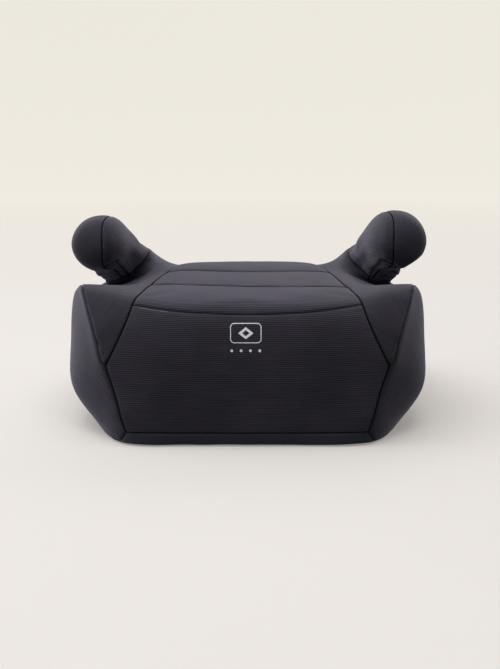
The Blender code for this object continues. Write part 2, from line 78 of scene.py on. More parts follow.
# The seam beside the seat and the outer seam of the gusset both start at the rear edge
# and run forward and down to meet at the gusset's point on the front panel.
#   centre line (y, z), seat seam (x, y, z), outer seam (x, y, z)
STATIONS = (
    ((171, 134), (79, 171, 134.5), (151, 171, 122)),
    ((122, 147), (83, 122, 147), (163, 120, 135)),
    ((72, 154.5), (89, 72, 155), (172, 72, 138)),
    ((28, 157.5), (96, 28, 158), (182, 28, 131)),
    ((-30, 159), (104, -30, 159.5), (189, -30, 136)),
    ((-85, 158.5), (111, -85, 160), (187, -85, 158)),
    ((-128, 157.5), (117.5, -128, 160), (182, -130, 165)),
    ((-160, 154), (123.5, -153, 156), (176, -149, 146)),
    ((-175, 145), (130, -168, 139.5), (169.5, -162, 130)),
    ((-187, 117), (141.5, -176, 114), (163, -171, 112)),
    ((-190, 89), (155, -177.5, 89), (155, -177.5, 89)),
    ((-191, 52), (143, -183, 52), (143, -183, 52)),
    ((-190, 15), (133, -185, 15), (133, -185, 15)),
)
POINT_ROW = 10
# Where the centre panel's second line of points lies, as a share of its half width, and how far it has
# dropped from the centre line towards the seam
MIDDLE_SHARE = 0.52
CROWN_SHARE = 0.2
CENTER_ZONES = (("seat", 0, 8), ("front", 8, 11), ("skirt", 11, 12))

# Between the two seams: two lines of points under the arm, then one towards the front.
GUSSET_INNER = ((104, 171, 133), (111, 120, 150), (115, 74, 160.5), (119, 28, 154))
GUSSET_OUTER = ((128, 171, 129.5), (139, 120, 145.5), None, (148, 28, 142))
GUSSET_FRONT = (
    (148, -30, 144),
    (150, -86, 160),
    (150, -132, 164.5),
    (150.5, -154, 155),
    (150, -168.5, 134),
)

# Side panel columns from rear to front: (y on the hem seam, widest x, x and z on the hem seam)
SIDE_COLUMNS = (
    (178, 156, 142, 13),
    (112, 183, 165, 10),
    (52, 196, 175, 8),
    (-15, 204, 180, 8),
    (-80, 205, 181, 8),
    (-138, 200, 167, 10),
)
LAST_COLUMN = len(SIDE_COLUMNS) - 1
SHOULDER_POWER = 14
FLARE_POWER = 3
REAR_ROWS = (0, 0.14, 0.3, 0.47, 0.64, 0.82, 1)
FRONT_ROWS = (0, 0.05, 0.2, 0.39, 0.57, 0.79, 1)
LAST_ROW = len(REAR_ROWS) - 1  # on the hem seam
REAR_BULGE = 19.2
REAR_HEM_X = (0, 45, 84, 107, 126)

# Rings of a horn: (centre, tilt from flat to upright, roll towards the outside, half width, half depth,
# seam lean, skew that fills the forward outer corner and flattens the inner one)
ARM_RINGS = (
    ((153, 48, 163.5), 30, 18, 31.5, 30, 0, 0.22),
    ((158.5, 22, 176), 52, 12, 31, 28, 6, 0.18),
    ((165, -16, 194), 72, 5, 29, 30, 14, 0.05),
    ((171.5, -56, 203.5), 85, 0, 30.5, 32, 20, 0),
    ((173, -80, 204.5), 88, 0, 23, 23, 20, 0),
)
ARM_TIP = (164, -91, 204)
ARM_SEAM_LEAN = (-0.5, -1, -0.5, 0, 0.5, 1, 0.5, 0)  # share of the lean at each of a ring's points
ARM_SIDES = 8

PAIRED = ("gusset", "root", "side", "arm_inner", "arm_outer")  # panels that exist left and right

# Simulation: a fairly coarse skin settles, then it is refined and given its detail
SIM_LEVELS = 3
FINE_LEVELS = 2
SIM_FRAMES = 20
SIM_CAP = 1.7  # largest movement of a point
CLOTH_SETTINGS = {
    "quality": 4,
    "mass": 0.4,
    "tension_stiffness": 20,
    "compression_stiffness": 20,
    "shear_stiffness": 8,
    "bending_stiffness": 2.5,
    "vertex_group_shrink": "loose",
    "shrink_min": 0,
    "shrink_max": -0.008,  # below zero: the sleeves are cut a little large
    "vertex_group_mass": "held",
    "use_pressure": True,
    "uniform_pressure_force": 2.5,
}

# Unevenness of the cloth: (height, size, seed) of each layer
UNEVENNESS = ((0.7, 62, 6), (0.28, 24, 7))

# Seams, and the cloth beside them
SEAM_DEPTH = 1.0
SEAM_WIDTH = 1.4
SEAM_ROLL = 0.1
SEAM_REACH = 5  # distance from a seam at which the cloth beside it stands highest
SEAM_SHADE = 0.9  # width of the painted shade along a seam
SIDE_ROLL = 0.9  # extra roll of the side panels
PUCKER = 0.3
WING_SWELL = (3.2, 1.8)  # fullness of the gussets behind, left and right
WING_MIDDLE = 112  # and how far from the middle it is largest
RIM_GAP = 0.4
RIM_SKIRT = 3
SIDE_HEM_Z = 3.4  # how low the seam above the hem runs beside the seat
SIDE_HEM_CORNERS = (131, 144)  # distance from the middle at which it drops, in front and behind
SIDE_HEM_DROP = 10  # width over which it drops

# Quilting lines over the seat: (place along the centre line from the rear, lift at left and at right, depth)
CHANNELS = (
    (178, 12, 3, 1.0),
    (272, 14, -3, 1.0),
    (352, 15, 15, 0.4),
)
CHANNEL_DEPTH = 3.2
CHANNEL_WIDTH = 2.4
CHANNEL_PUFF = 3.0
CHANNEL_CURVE = 2.4  # power of the curve in which an even line bends up at both ends
CHANNEL_SHADE = (0.9, 1.7)  # strength and width of the painted shade along a channel
SEAT_HALF = 115  # half width of the seat, across which the quilting lines bend
SEAT_END = 365  # place along the centre line where the plain front begins
PUFF_END = (345, 385)  # where the padding between the lines runs out
REAR_EDGE_PUFF = 1.9  # extra fullness behind the first line
REAR_EDGE = (150, 182)
PROFILE = [station[0] for station in STATIONS]

# Horns: axis from the gusset to the tip, dents of the necks, and how far from round the bulbs are
ARM_LINE = [(146, 92, 146), (148, 70, 156)] + [ring[0] for ring in ARM_RINGS] + [ARM_TIP]
NECK_PLACE = 64  # along the axis
NECK_REACH = 20
NECK_DENT_RIGHT = 5.0
NECK_DENT_LEFT = (2.4, 2.6)  # on its inner and its outer side
BULB_START = (70, 150)  # along the axis
BULB_TALLER = (0.12, 0.05)  # right, left
BULB_WIDER = (0.06, 1.2)  # right only: share of the distance from its centre, and shift
BULB_RAISED = 3.2  # right only
BULB_CUT = (0.568, -0.823, 44.5)  # plane below the right bulb: x and z of its normal, and its offset
BULB_CUT_SHARE = 0.75

# Outlines of the gathers under the two necks, as (x, height along the slanted axis)
GATHERED = (
    [(-176, 73.5), (-164, 78.4), (-157.5, 81.8), (-150.6, 86), (-149.4, 80.2), (-147.4, 74.5)]
    + [(-140.5, 67.4), (-140.5, 57), (-168, 54), (-196, 62), (-184, 70)],
    [(177, 75.8), (168.7, 79.5), (158.1, 85.1), (152.3, 85.7), (150.6, 81), (150.5, 75.2)]
    + [(150, 67.5), (147, 57), (176, 54), (198, 62), (188, 71)],
)
SLANT_UP = np.array([0, 0.225, 0.974])
SLANT_FRONT = np.array([0, -0.974, 0.225])
SLANT_BASE = 82 * 0.974
GATHER_BAND = ((26, 40), (84, 100))  # along the axis: where the fainter gathers behind start and end
GATHER_PITCH = 3.7
GATHER_HEIGHT = 0.65
GATHER_DEPTH = 1.1
GATHER_LIP = 0.5
SLEEVE_FOLD = 0.45
SLEEVE_FOLDS = ((40, 70), (105, 135))  # along the axis
# Strength of the shade painted along the edge of the gathers
FOLD_SHADE = 0.6

# Weave
EDGE_AXIS = (-140, 105)  # (y, z) that the weave turns round from the seat to the front
EDGE_RADIUS = 50
SLEEVE_RADIUS = 28
RIB_PITCH = 2.3
YARN_PITCH = 1.1
# Strength of the ribs' relief and of the highlight painted on their ridges
RIB_STRENGTHS = {"side": 0.35, "gusset": 0.6}
# Two yarn tones; the mix leans to the light one on the rib ridges as a painted highlight
DARK_YARN = (0.006, 0.0054, 0.0086)
LIGHT_YARN_AND_HIGHLIGHT = (0.0385, 0.0354, 0.048)

# Plain materials: noise of the shade with its span and two colours, ends of the roughness, noise of the
# relief with its depth and strength.  A noise is its scale, detail and roughness.

# Dull, dark cloth where a panel turns down into its seam: painted shade of the seam's groove, dark and
# without sheen
PAINTED_SEAM_SHADE = dict(
    shade=(80, 3.0), rough=(0.8, 0.95), relief=(1400, 2.0, 0.7), bump=(0.0004, 0.6),
    colours=((0.0025, 0.0024, 0.0034), (0.0055, 0.0052, 0.007)), cloth=True,
    Specular_IOR_Level=0.15,
)
# Smoother, darker band of plain cloth round the bottom
BINDING = dict(
    shade=(30, 3.0), rough=(0.6, 0.78), relief=(900, 2.0, 0.7), bump=(0.0004, 0.6),
    colours=((0.0075, 0.0085, 0.012), (0.0115, 0.013, 0.018)), span=(0.3, 0.7), cloth=True,
    Sheen_Weight=0.22, Sheen_Roughness=0.5, Sheen_Tint=(0.85, 0.9, 1.0), Specular_IOR_Level=0.3,
)
# Black moulded plastic with a fine spark-eroded grain, a little scuffed
PLASTIC = dict(
    shade=(38, 4.0, 0.65), rough=(0.42, 0.6, (0.35, 0.7)), relief=(1100, 2.0), bump=(0.0002, 0.5),
    colours=((0.016, 0.016, 0.018), (0.03, 0.03, 0.032)), span=(0.45, 0.75),
    Specular_IOR_Level=0.5,
)
# Dusty rubber
RUBBER = dict(
    shade=(120, 4.0, 0.6), rough=(0.65, 0.85), relief=(700, 2.0), bump=(0.0002, 0.4),
    colours=((0.012, 0.012, 0.012), (0.045, 0.043, 0.04)), span=(0.5, 0.8),
)
STEEL = dict(
    shade=(260, 3.0), rough=(0.25, 0.45), colours=((0.42, 0.42, 0.44), (0.68, 0.68, 0.7)),
    Metallic=1.0,
)
# Pale thread; beside the gussets' outer seams its stitches also stand for highlights painted on the cloth's
# small puckered ridges
THREAD = dict(
    shade=(1500, 2.0), rough=(0.55, 0.75), colours=((0.12, 0.12, 0.14), (0.3, 0.3, 0.34)),
    Sheen_Weight=0.3, Sheen_Roughness=0.4,
)

# Rows of stitches: (offset beside the line, spacing, length, width, whether they lie across it)
QUILT_STITCH = (0, 3.3, 2.3, 0.5, False)
# Pale ticks across the gussets' outer seams: stitches that also paint the highlights on the cloth's small
# ridges there
GUSSET_HIGHLIGHT_STITCH = (2.7, 2.3, 2.2, 0.6, True)
SEAT_STITCH = (-2.8, 4.2, 2.7, 0.5, False)
STITCH_LIFT = 0.12
STITCH_MISS = 3.2  # a stitch is left out if the cloth is further from its place than this
SEAM_JUMP = 12  # a seam's points in a row end where the next one is further away than this
SEAM_END = 1.5
# Outline of one stitch: (place along its length, width, height)
STITCH_RING = ((-0.5, 0.25, 0.0), (-0.3, 1.0, 0.55), (0.0, 1.1, 0.75), (0.3, 1.0, 0.55), (0.5, 0.25, 0.0))

# Badge on the front: its frame as (width, height, corner radius) and its diamond as (half width, half
# height), both outside and inside, and the row of dots
EMBLEM_AT = (-1.7, 126)
EMBLEM_FRAME = ((33.6, 21, 4.5), (31.8, 19.2, 3.6))
EMBLEM_DIAMOND = ((8.2, 6.4), (4.0, 3.1))
EMBLEM_DOTS = (-15, -5, 5, 15)
DOT_RADIUS = 1.5
DOT_Z = -18.4
PRINT_LIFT = 0.22

# Room, in metres: world light at the horizon, and how much it grows towards +X, +Y and +Z
ROOM_LIGHT = 0.43
ROOM_SLOPE = (-0.3, 0.19, 0.09)
FLOOR_RADIUS = 2.6
FLOOR_SIDES = 48
PAPER_NEAR = ((0.4, 0.385, 0.36), (0.412, 0.397, 0.371))
PAPER_FAR = (0.06, 0.057, 0.052)
GLOW_NEAR = (0.26, 0.248, 0.232)
GLOW_FAR = (0.81, 0.78, 0.70)
# (name, place, size, power, colour)
LAMPS = (
    ("window", (-1.5, 0.2, 2.3), (1.8, 1.8), 30, (0.95, 0.97, 1.0)),
    ("overhead", (-0.1, -0.6, 2.4), (1.8, 1.8), 42, (1.0, 0.98, 1.0)),
    ("rear", (0.2, 2.0, 1.9), (2.4, 1.2), 20, (1.0, 0.98, 1.0)),
    ("beside", (1.7, 0.6, 0.35), (0.8, 0.5), 2.5, (1.0, 0.97, 1.0)),
)
LAMP_TARGET = (0, 0, 0.1)
FOCAL_LENGTH = 65.8
CAMERA_TILT = 13
CAMERA_DISTANCE = 1.5
AIM_ASIDE = 0.0028
AIM_HEIGHT = 0.35  # as a share of the model's height

FAR = 1e9

# piece: (panels, slot, CAD nodes it stands for, fill, turn of the ribs in degrees)
PIECES = {
    "seat_cover": (("seat", "front", "skirt"), "fabric", ("cover_center", "seat_foam", "front_pad"), 0.9, 0),
    "rear_cover": (("rear",), "fabric", ("cover_rear",), 0.8, 0),
    "hem_band": (("hem", "turn"), "hem_fabric", ("cover_hem",), None, 0),
}
for _side, _turn in (("_left", 50), ("_right", -50)):
    for _name, _panels, _nodes, _fill, _ribs in (
        ("gusset_cover", ("gusset", "root"), ("cover_gusset", "wing_pad"), 0.9, _turn),
        ("side_cover", ("side",), ("cover_side",), 0.8, 80),
        ("arm_inner_cover", ("arm_inner",), ("arm_cover_inner", "arm_foam"), 0.95, 90),
        ("arm_outer_cover", ("arm_outer",), ("arm_cover_outer",), 0.95, 90),
    ):
        _own = [tuple(part + _side for part in parts) for parts in (_panels, _nodes)]
        PIECES[_name + _side] = (_own[0], "fabric", _own[1], _fill, _ribs)


def lerp(a, b, t):
    return a + (b - a) * t


class Cage:
    """Named points of the right half, and faces tagged with the panel they belong to."""

    def __init__(self):
        self.points = {}
        self.faces = []
        self.creases = set()

    def point(self, key, xyz):
        self.points[key] = Vector(xyz)

    def face(self, panel, *keys):
        unique = [key for i, key in enumerate(keys) if key not in keys[:i]]
        self.faces.append((panel, unique))

    def crease(self, keys):
        """Keeps a seam on its own curve, whatever the panels beside it do."""
        self.creases.update(frozenset(pair) for pair in zip(keys, keys[1:]))

    def grid(self, panel, rows):
        for upper, lower in zip(rows, rows[1:]):
            for i in range(len(upper) - 1):
                self.face(panel, upper[i], lower[i], lower[i + 1], upper[i + 1])


def center_keys(row):
    return [("seat", row, column) for column in range(3)]


def outer_key(row):
    return ("outer", row) if row < POINT_ROW else ("seat", row, 2)


def add_center(cage):
    for row, ((y, z), seam, outer) in enumerate(STATIONS):
        cage.point(("seat", row, 0), (0, y, z))
        drop = (lerp(y, seam[1], CROWN_SHARE), lerp(z, seam[2], CROWN_SHARE))
        cage.point(("seat", row, 1), (seam[0] * MIDDLE_SHARE, *drop))
        cage.point(("seat", row, 2), seam)
        if row < POINT_ROW:
            cage.point(("outer", row), outer)
    for panel, first, last in CENTER_ZONES:
        cage.grid(panel, [center_keys(row) for row in range(first, last + 1)])


def add_gusset(cage):
    for row, xyz in enumerate(GUSSET_INNER):
        cage.point(("inner", row), xyz)
    for row, xyz in enumerate(GUSSET_OUTER):
        if xyz:
            cage.point(("mid", row), xyz)
    for row, xyz in enumerate(GUSSET_FRONT, start=4):
        cage.point(("front", row), xyz)
    rear = [[("seat", row, 2), ("inner", row), ("mid", row), ("outer", row)] for row in (0, 1)]
    cage.grid("gusset", rear)
    cage.grid("gusset", [[("seat", row, 2), ("inner", row)] for row in (1, 2, 3)])
    cage.face("gusset", ("seat", 3, 2), ("seat", 4, 2), ("front", 4), ("inner", 3))
    cage.face("gusset", ("inner", 3), ("front", 4), ("mid", 3))
    cage.face("gusset", ("mid", 3), ("front", 4), ("outer", 4), ("outer", 3))
    cage.grid("gusset", [[("seat", r, 2), ("front", r), ("outer", r)] for r in range(4, 9)])
    cage.face("gusset", ("seat", 8, 2), ("seat", 9, 2), ("outer", 9), ("front", 8))
    cage.face("gusset", ("front", 8), ("outer", 9), ("outer", 8))
    cage.face("gusset", ("seat", 9, 2), ("seat", 10, 2), ("outer", 9))
    cage.crease([outer_key(row) for row in range(5, len(STATIONS))])
    cage.crease([("seat", row, 2) for row in range(5, POINT_ROW + 1)])


def side_key(column, row):
    if row == 0:
        return outer_key(column)
    return ("side", column, row) if column <= LAST_COLUMN else outer_key(LAST_COLUMN + 1 + row)


def add_side(cage):
    for column, (hem_y, widest, hem_x, hem_z) in enumerate(SIDE_COLUMNS):
        top = STATIONS[column][2]
        for row in range(1, LAST_ROW + 1):
            fraction = lerp(REAR_ROWS[row], FRONT_ROWS[row], column / LAST_COLUMN)  # how far down it lies
            z = lerp(top[2], hem_z, fraction)
            if z > WIDEST_Z:
                inset = (widest - top[0]) * ((z - WIDEST_Z) / (top[2] - WIDEST_Z)) ** SHOULDER_POWER
            else:
                inset = (widest - hem_x) * ((WIDEST_Z - z) / (WIDEST_Z - hem_z)) ** FLARE_POWER
            cage.point(("side", column, row), (widest - inset, lerp(top[1], hem_y, fraction), z))
    columns = range(LAST_COLUMN + 1, -1, -1)
    cage.grid("side", [[side_key(column, row) for column in columns] for row in range(LAST_ROW + 1)])


def rear_keys(row):
    if row == 0:
        return [("seat", 0, 0), ("seat", 0, 1), ("seat", 0, 2), ("inner", 0), ("mid", 0), ("outer", 0)]
    return [("rear", column, row) for column in range(5)] + [side_key(0, row)]


def add_rear(cage):
    for row in range(1, LAST_ROW + 1):
        fraction = REAR_ROWS[row]
        corner = cage.points[("side", 0, row)]
        for column, key in enumerate(rear_keys(0)[:5]):
            top = cage.points[key]
            y = STATIONS[0][0][0] + REAR_BULGE * math.sin(min(fraction * 2.5, 1) * math.pi / 2)
            hem_x = REAR_HEM_X[column]
            rounded = (hem_x / REAR_HEM_X[-1]) ** 3
            at = (lerp(top.x, hem_x, fraction), lerp(y, corner.y + 3, rounded), lerp(top.z, SEAM_Z, fraction))
            cage.point(("rear", column, row), at)
    cage.grid("rear", [rear_keys(row)[::-1] for row in range(LAST_ROW + 1)])


def hem_ring(up):
    """Keys round the hem seam, or that many rows above it, from the front to the rear."""
    sides = [side_key(column, LAST_ROW - up) for column in range(LAST_COLUMN, -1, -1)]
    return center_keys(len(STATIONS) - 1 - up) + sides + rear_keys(LAST_ROW - up)[4::-1]


def add_hem(cage):
    """A band down from the hem seam, turned in under the body."""
    ring, above = hem_ring(0), hem_ring(1)
    line = [cage.points[key] for key in ring]
    for i, at in enumerate(line):
        before = line[i - 1] if i else Vector((-line[1].x, line[1].y, 0))
        after = line[i + 1] if i + 1 < len(line) else Vector((-line[i - 1].x, line[i - 1].y, 0))
        inward = Vector((before.y - after.y, after.x - before.x, 0)).normalized()
        over = cage.points[above[i]]
        slope = max(0, (at - over).dot(inward)) / (over.z - at.z)
        low = at + inward * (HEM_INSET + slope * (at.z - HEM_Z) * 0.75)
        cage.point(("low", i), (low.x, low.y, HEM_Z))
        cage.point(("turn", i), (low.x * HEM_TURN, low.y * HEM_TURN, HEM_Z))
    low = [("low", i) for i in range(len(ring))]
    turned = [("turn", i) for i in range(len(ring))]
    cage.grid("hem", [ring, low])
    cage.grid("turn", [low, turned])


def arm_root():
    """The ring of gusset points that the arm grows from."""
    front = [("inner", 3), ("mid", 3), ("outer", 3), ("outer", 2)]
    return front + [("outer", 1), ("mid", 1), ("inner", 1), ("inner", 2)]


def add_arm(cage):
    """A tube of eight-point rings from the gusset to the round tip."""
    rings = [arm_root()]
    for number, (center, tilt, roll, half_width, half_depth, lean, skew) in enumerate(ARM_RINGS, start=1):
        across = Vector((math.cos(math.radians(roll)), 0, -math.sin(math.radians(roll))))
        back = Vector((0, math.cos(math.radians(tilt)), math.sin(math.radians(tilt))))
        for i in range(ARM_SIDES):
            angle = math.radians(45 * (i - 3) + lean * ARM_SEAM_LEAN[i])
            offset = across * half_width * math.cos(angle) + back * half_depth * math.sin(angle)
            corner = {0: 1 - skew, 2: 1 + 0.7 * skew}.get(i, 1)
            cage.point(("arm", number, i), Vector(center) + offset * corner)
        rings.append([("arm", number, i) for i in range(ARM_SIDES)])
    cage.point(("tip",), ARM_TIP)
    sleeve = ["arm_inner"] + ["arm_outer"] * 4 + ["arm_inner"] * 3
    for number, (lower, upper) in enumerate(zip(rings, rings[1:])):
        for i in range(ARM_SIDES):
            j = (i + 1) % ARM_SIDES
            cage.face(sleeve[i] if number else "root", lower[i], lower[j], upper[j], upper[i])
    end = rings[-1]
    for i in (1, 3, 5, 7):
        panel = "arm_outer" if i in (1, 3) else "arm_inner"
        cage.face(panel, end[i], end[(i + 1) % ARM_SIDES], end[(i + 2) % ARM_SIDES], ("tip",))


def build_cage():
    cage = Cage()
    add_center(cage)
    add_gusset(cage)
    add_side(cage)
    add_rear(cage)
    add_hem(cage)
    add_arm(cage)
    return cage


def cage_mesh(cage):
    """Both halves of the cage as one mesh, the panel names that its faces number, and its targets."""
    mesh = bpy.data.meshes.new("cage")
    work = bmesh.new()
    creases = work.edges.layers.float.new("crease_edge")
    names = []
    targets = []
    made = {}
    for side in (1, -1):
        for key, at in cage.points.items():
            if side == -1 and abs(at.x) < 1e-6:
                made[key, side] = made[key, 1]
                continue
            place = Vector((at.x * side, at.y, at.z)) * MM
            made[key, side] = work.verts.new(place)
            targets.append(place)
    for side, suffix in ((1, "_right"), (-1, "_left")):
        for panel, keys in cage.faces:
            name = panel + suffix if panel in PAIRED else panel
            if name not in names:
                names.append(name)
            face = work.faces.new([made[key, side] for key in keys][::side])
            face.material_index = names.index(name)
            for i, key in enumerate(keys):
                if frozenset((key, keys[i - 1])) in cage.creases:
                    work.edges.get((made[key, side], made[keys[i - 1], side]))[creases] = SEAM_CREASE
    bmesh.ops.recalc_face_normals(work, faces=work.faces[:])
    work.to_mesh(mesh)
    work.free()
    return mesh, names, targets


def evaluated(obj):
    bpy.context.view_layer.update()
    return obj.evaluated_get(bpy.context.evaluated_depsgraph_get())


def link(name, data):
    obj = bpy.data.objects.new(name, data)
    bpy.context.scene.collection.objects.link(obj)
    return obj


def subdivided(mesh, levels):
    """The mesh after that many rounds of Catmull-Clark, as new data."""
    guide = link("guide", mesh)
    subsurf = guide.modifiers.new("smooth", "SUBSURF")
    subsurf.levels = levels
    fine = bpy.data.meshes.new_from_object(evaluated(guide))
    bpy.data.objects.remove(guide)
    return fine


def fitted_skin(cage, levels):
    """The smooth skin through the cage's points, as a mesh of the given fineness."""
    mesh, names, targets = cage_mesh(cage)
    for name in names:
        mesh.materials.append(None)
    guide = link("skin_guide", mesh)
    subsurf = guide.modifiers.new("smooth", "SUBSURF")
    subsurf.levels = FIT_LEVELS
    for _ in range(FIT_ROUNDS):
        surface = evaluated(guide).data
        for vertex, target in zip(mesh.vertices, targets):
            vertex.co += target - surface.vertices[vertex.index].co
        mesh.update()
    bpy.data.objects.remove(guide)
    return subdivided(mesh, levels), names


def numbers(items, name):
    """One whole number of every item."""
    flat = np.empty(len(items), np.int32)
    items.foreach_get(name, flat)
    return flat


def vectors(items, name):
    """One vector of every item."""
    flat = np.empty(len(items) * 3)
    items.foreach_get(name, flat)
    return flat.reshape(-1, 3)


def places_of(mesh):
    return vectors(mesh.vertices, "co") / MM


def set_places(mesh, places):
    mesh.vertices.foreach_set("co", (places * MM).ravel())
    mesh.update()


def piece_of_faces(mesh, names):
    """The number of the piece that each face belongs to."""
    owner = {panel: i for i, (panels, *_) in enumerate(PIECES.values()) for panel in panels}
    return np.array([owner[name] for name in names])[numbers(mesh.polygons, "material_index")]


def lower_side_seam(mesh, names, pieces):
    """Beside the seat the panels reach down to the floor, so most of the hem there belongs to them."""
    index = numbers(mesh.polygons, "material_index")
    x, y, z = vectors(mesh.polygons, "center").T / MM
    corner = np.where(y < 0, *SIDE_HEM_CORNERS)
    dropped = smoothstep(np.abs(x), corner, corner + SIDE_HEM_DROP)
    line = SIDE_HEM_Z + (SEAM_Z - SIDE_HEM_Z) * (1 - dropped)
    taken = (index == names.index("hem")) & (np.abs(x) > corner) & (z > line)
    for side, found in (("left", taken & (x < 0)), ("right", taken & (x > 0))):
        pieces[found] = list(PIECES).index("side_cover_" + side)


def seam_points(mesh, pieces):
    """The points where two pieces meet."""
    seen = {}
    shared = set()
    for face, piece in zip(mesh.polygons, pieces):
        for vertex in face.vertices:
            if seen.setdefault(vertex, piece) != piece:
                shared.add(vertex)
    return sorted(shared)


def settle(mesh, held, loose):
    """Lets the cover settle as cloth under a light inner pressure.

    Its seams and hem are held, and the cloth of its sleeves is a little loose."""
    before = places_of(mesh)
    obj = link("cloth", mesh)
    for name, points in (("held", held), ("loose", loose)):
        obj.vertex_groups.new(name=name).add([int(i) for i in points], 1.0, "REPLACE")
    cloth = obj.modifiers.new("Cloth", "CLOTH")
    for name, value in CLOTH_SETTINGS.items():
        setattr(cloth.settings, name, value)
    cloth.settings.effector_weights.gravity = 0
    cloth.point_cache.frame_end = SIM_FRAMES
    for number in range(1, SIM_FRAMES + 1):
        bpy.context.scene.frame_set(number)
    after = places_of(evaluated(obj).data)
    bpy.data.objects.remove(obj)
    bpy.context.scene.frame_set(1)
    moved = after - before
    length = np.linalg.norm(moved, axis=1, keepdims=True)
    set_places(mesh, before + moved * np.tanh(length / SIM_CAP) * SIM_CAP / np.maximum(length, 1e-6))


def noise(points, scale, seed):
    """Smooth noise from -1 to 1 at points, with features of about the given size."""
    table = np.random.RandomState(seed).uniform(-1, 1, 4096)
    cell = points / scale
    base = np.floor(cell).astype(np.int64)
    part = cell - base
    part = part * part * (3 - 2 * part)
    total = np.zeros(len(points))
    for corner in range(8):
        step = np.array([corner & 1, corner >> 1 & 1, corner >> 2 & 1])
        key = base + step
        hashed = (key[:, 0] * 73856093 ^ key[:, 1] * 19349663 ^ key[:, 2] * 83492791) & 4095
        weight = np.prod(np.where(step, part, 1 - part), axis=1)
        total += table[hashed] * weight
    return total


def along(points, line):
    """Each point's place along a polyline, as the length from its start, and its distance from it."""
    line = np.array(line, float)
    best = np.full(len(points), FAR)
    place = np.zeros(len(points))
    run = 0
    for a, b in zip(line, line[1:]):
        length = np.linalg.norm(b - a)
        share = np.clip((points - a) @ (b - a) / length**2, 0, 1)
        distance = np.linalg.norm(points - (a + share[:, None] * (b - a)), axis=1)
        near = distance < best
        best = np.where(near, distance, best)
        place = np.where(near, run + share * length, place)
        run += length
    return place, best


def steps_along(line):
    """The length along a polyline at each of its points."""
    return np.concatenate([[0], np.cumsum(np.linalg.norm(np.diff(line, axis=0), axis=1))])


def nearest(points, targets):
    """For each point, its distance to the nearest target and that target's number."""
    tree = KDTree(len(targets))
    for i, target in enumerate(targets):
        tree.insert(target, i)
    tree.balance()
    found = [tree.find(point)[1:] for point in points]
    return np.array([f[1] for f in found]), np.array([f[0] for f in found])


def bump(distance, width):
    return np.exp(-((distance / width) ** 2))


def smoothstep(value, low, high):
    t = np.clip((value - low) / (high - low), 0, 1)
    return t * t * (3 - 2 * t)


def arm_place(points):
    """Length along the arm's axis and the angle round it, from the outside towards the rear."""
    mirrored = np.column_stack([np.abs(points[:, 0]), points[:, 1:]])
    place, _ = along(mirrored, ARM_LINE)
    line = np.array(ARM_LINE, float)
    steps = steps_along(line)

    def on_axis(run):
        return np.stack([np.interp(run, steps, line[:, i]) for i in range(3)], axis=1)

    axis = on_axis(place + 5) - on_axis(place - 5)
    axis /= np.linalg.norm(axis, axis=1, keepdims=True)
    across = np.array([1.0, 0, 0]) - axis * axis[:, :1]
    across /= np.linalg.norm(across, axis=1, keepdims=True)
    back = np.cross(axis, across)
    offset = mirrored - on_axis(place)
    angle = np.degrees(np.arctan2((offset * back).sum(1), (offset * across).sum(1)))
    return place, -angle


def band(value, start, end):
    """From 0 to 1 over the first range and back to 0 over the second."""
    return smoothstep(value, *start) * (1 - smoothstep(value, *end))


def gather_weight(points, normals):
    """How strongly the cloth is bunched under the neck of an arm, its edge, and the lip just outside."""
    place, _ = arm_place(points)
    slanted = np.stack([points[:, 0], points @ SLANT_UP - SLANT_BASE], axis=1)
    depth = np.full(len(points), -FAR)
    for outline in GATHERED:
        inside = np.zeros(len(points), bool)
        edge = np.full(len(points), FAR)
        for (ax, ay), (bx, by) in zip(outline, outline[1:] + outline[:1]):
            crossed = (slanted[:, 1] < ay) != (slanted[:, 1] < by)
            at = ax + (slanted[:, 1] - ay) / (by - ay + 1e-9) * (bx - ax)
            inside ^= crossed & (slanted[:, 0] < at)
            edge = np.minimum(edge, along(slanted, [(ax, ay), (bx, by)])[1])
        depth = np.maximum(depth, np.where(inside, edge, -edge))
    front = smoothstep(normals @ SLANT_FRONT, -0.3, 0)
    behind = band(place, *GATHER_BAND) * smoothstep(-normals[:, 2], -0.5, 0.3)
    weight = front * smoothstep(depth, -0.6, 1.2) + 0.3 * (1 - front) * behind
    return weight, front * bump(depth, 1.2), front * bump(np.minimum(depth, 0), 5) * (depth < 0)


def shape_arms(places, normals, arms, necks):
    """Draws the necks in, mostly on their inner side, and gives the two bulbs their own shapes.

    Both bulbs are a little taller than round; the right one is also higher, wider and flatter below."""
    place, _ = arm_place(places)
    x, _, z = places.T  # views, so that changes to them are changes to the places
    side = np.sign(x)
    right = x > 0
    inner = np.maximum(normals[:, 2] * 0.66 - normals[:, 0] * side * 0.75, 0)
    outer = np.maximum(normals[:, 0] * side, 0)
    dent = np.where(right, NECK_DENT_RIGHT * inner, NECK_DENT_LEFT[0] * inner + NECK_DENT_LEFT[1] * outer)
    dent *= bump(place - NECK_PLACE, NECK_REACH) * necks
    places -= normals * dent[:, None]
    bulb = smoothstep(place, *BULB_START) * arms
    center = np.array(ARM_RINGS[3][0])
    z += bulb * np.where(right, *BULB_TALLER) * (z - center[2])
    x += bulb * right * (BULB_WIDER[0] * (x - center[0]) + BULB_WIDER[1])
    z += bulb * right * BULB_RAISED
    cut_x, cut_z, cut_at = BULB_CUT
    over = np.maximum(x * cut_x + z * cut_z + cut_at, 0) * right * bulb
    x -= cut_x * BULB_CUT_SHARE * over
    z -= cut_z * BULB_CUT_SHARE * over


def point_panels(mesh, names):
    """The name of a panel that each point belongs to."""
    panels = np.zeros(len(mesh.vertices), np.int32)
    corners = np.repeat(numbers(mesh.polygons, "material_index"), numbers(mesh.polygons, "loop_total"))
    panels[numbers(mesh.loops, "vertex_index")] = corners
    return np.array(names)[panels]


def roll(distance):
    """The soft rise of the cloth beside a seam."""
    return distance / SEAM_REACH * np.exp(1 - distance / SEAM_REACH)


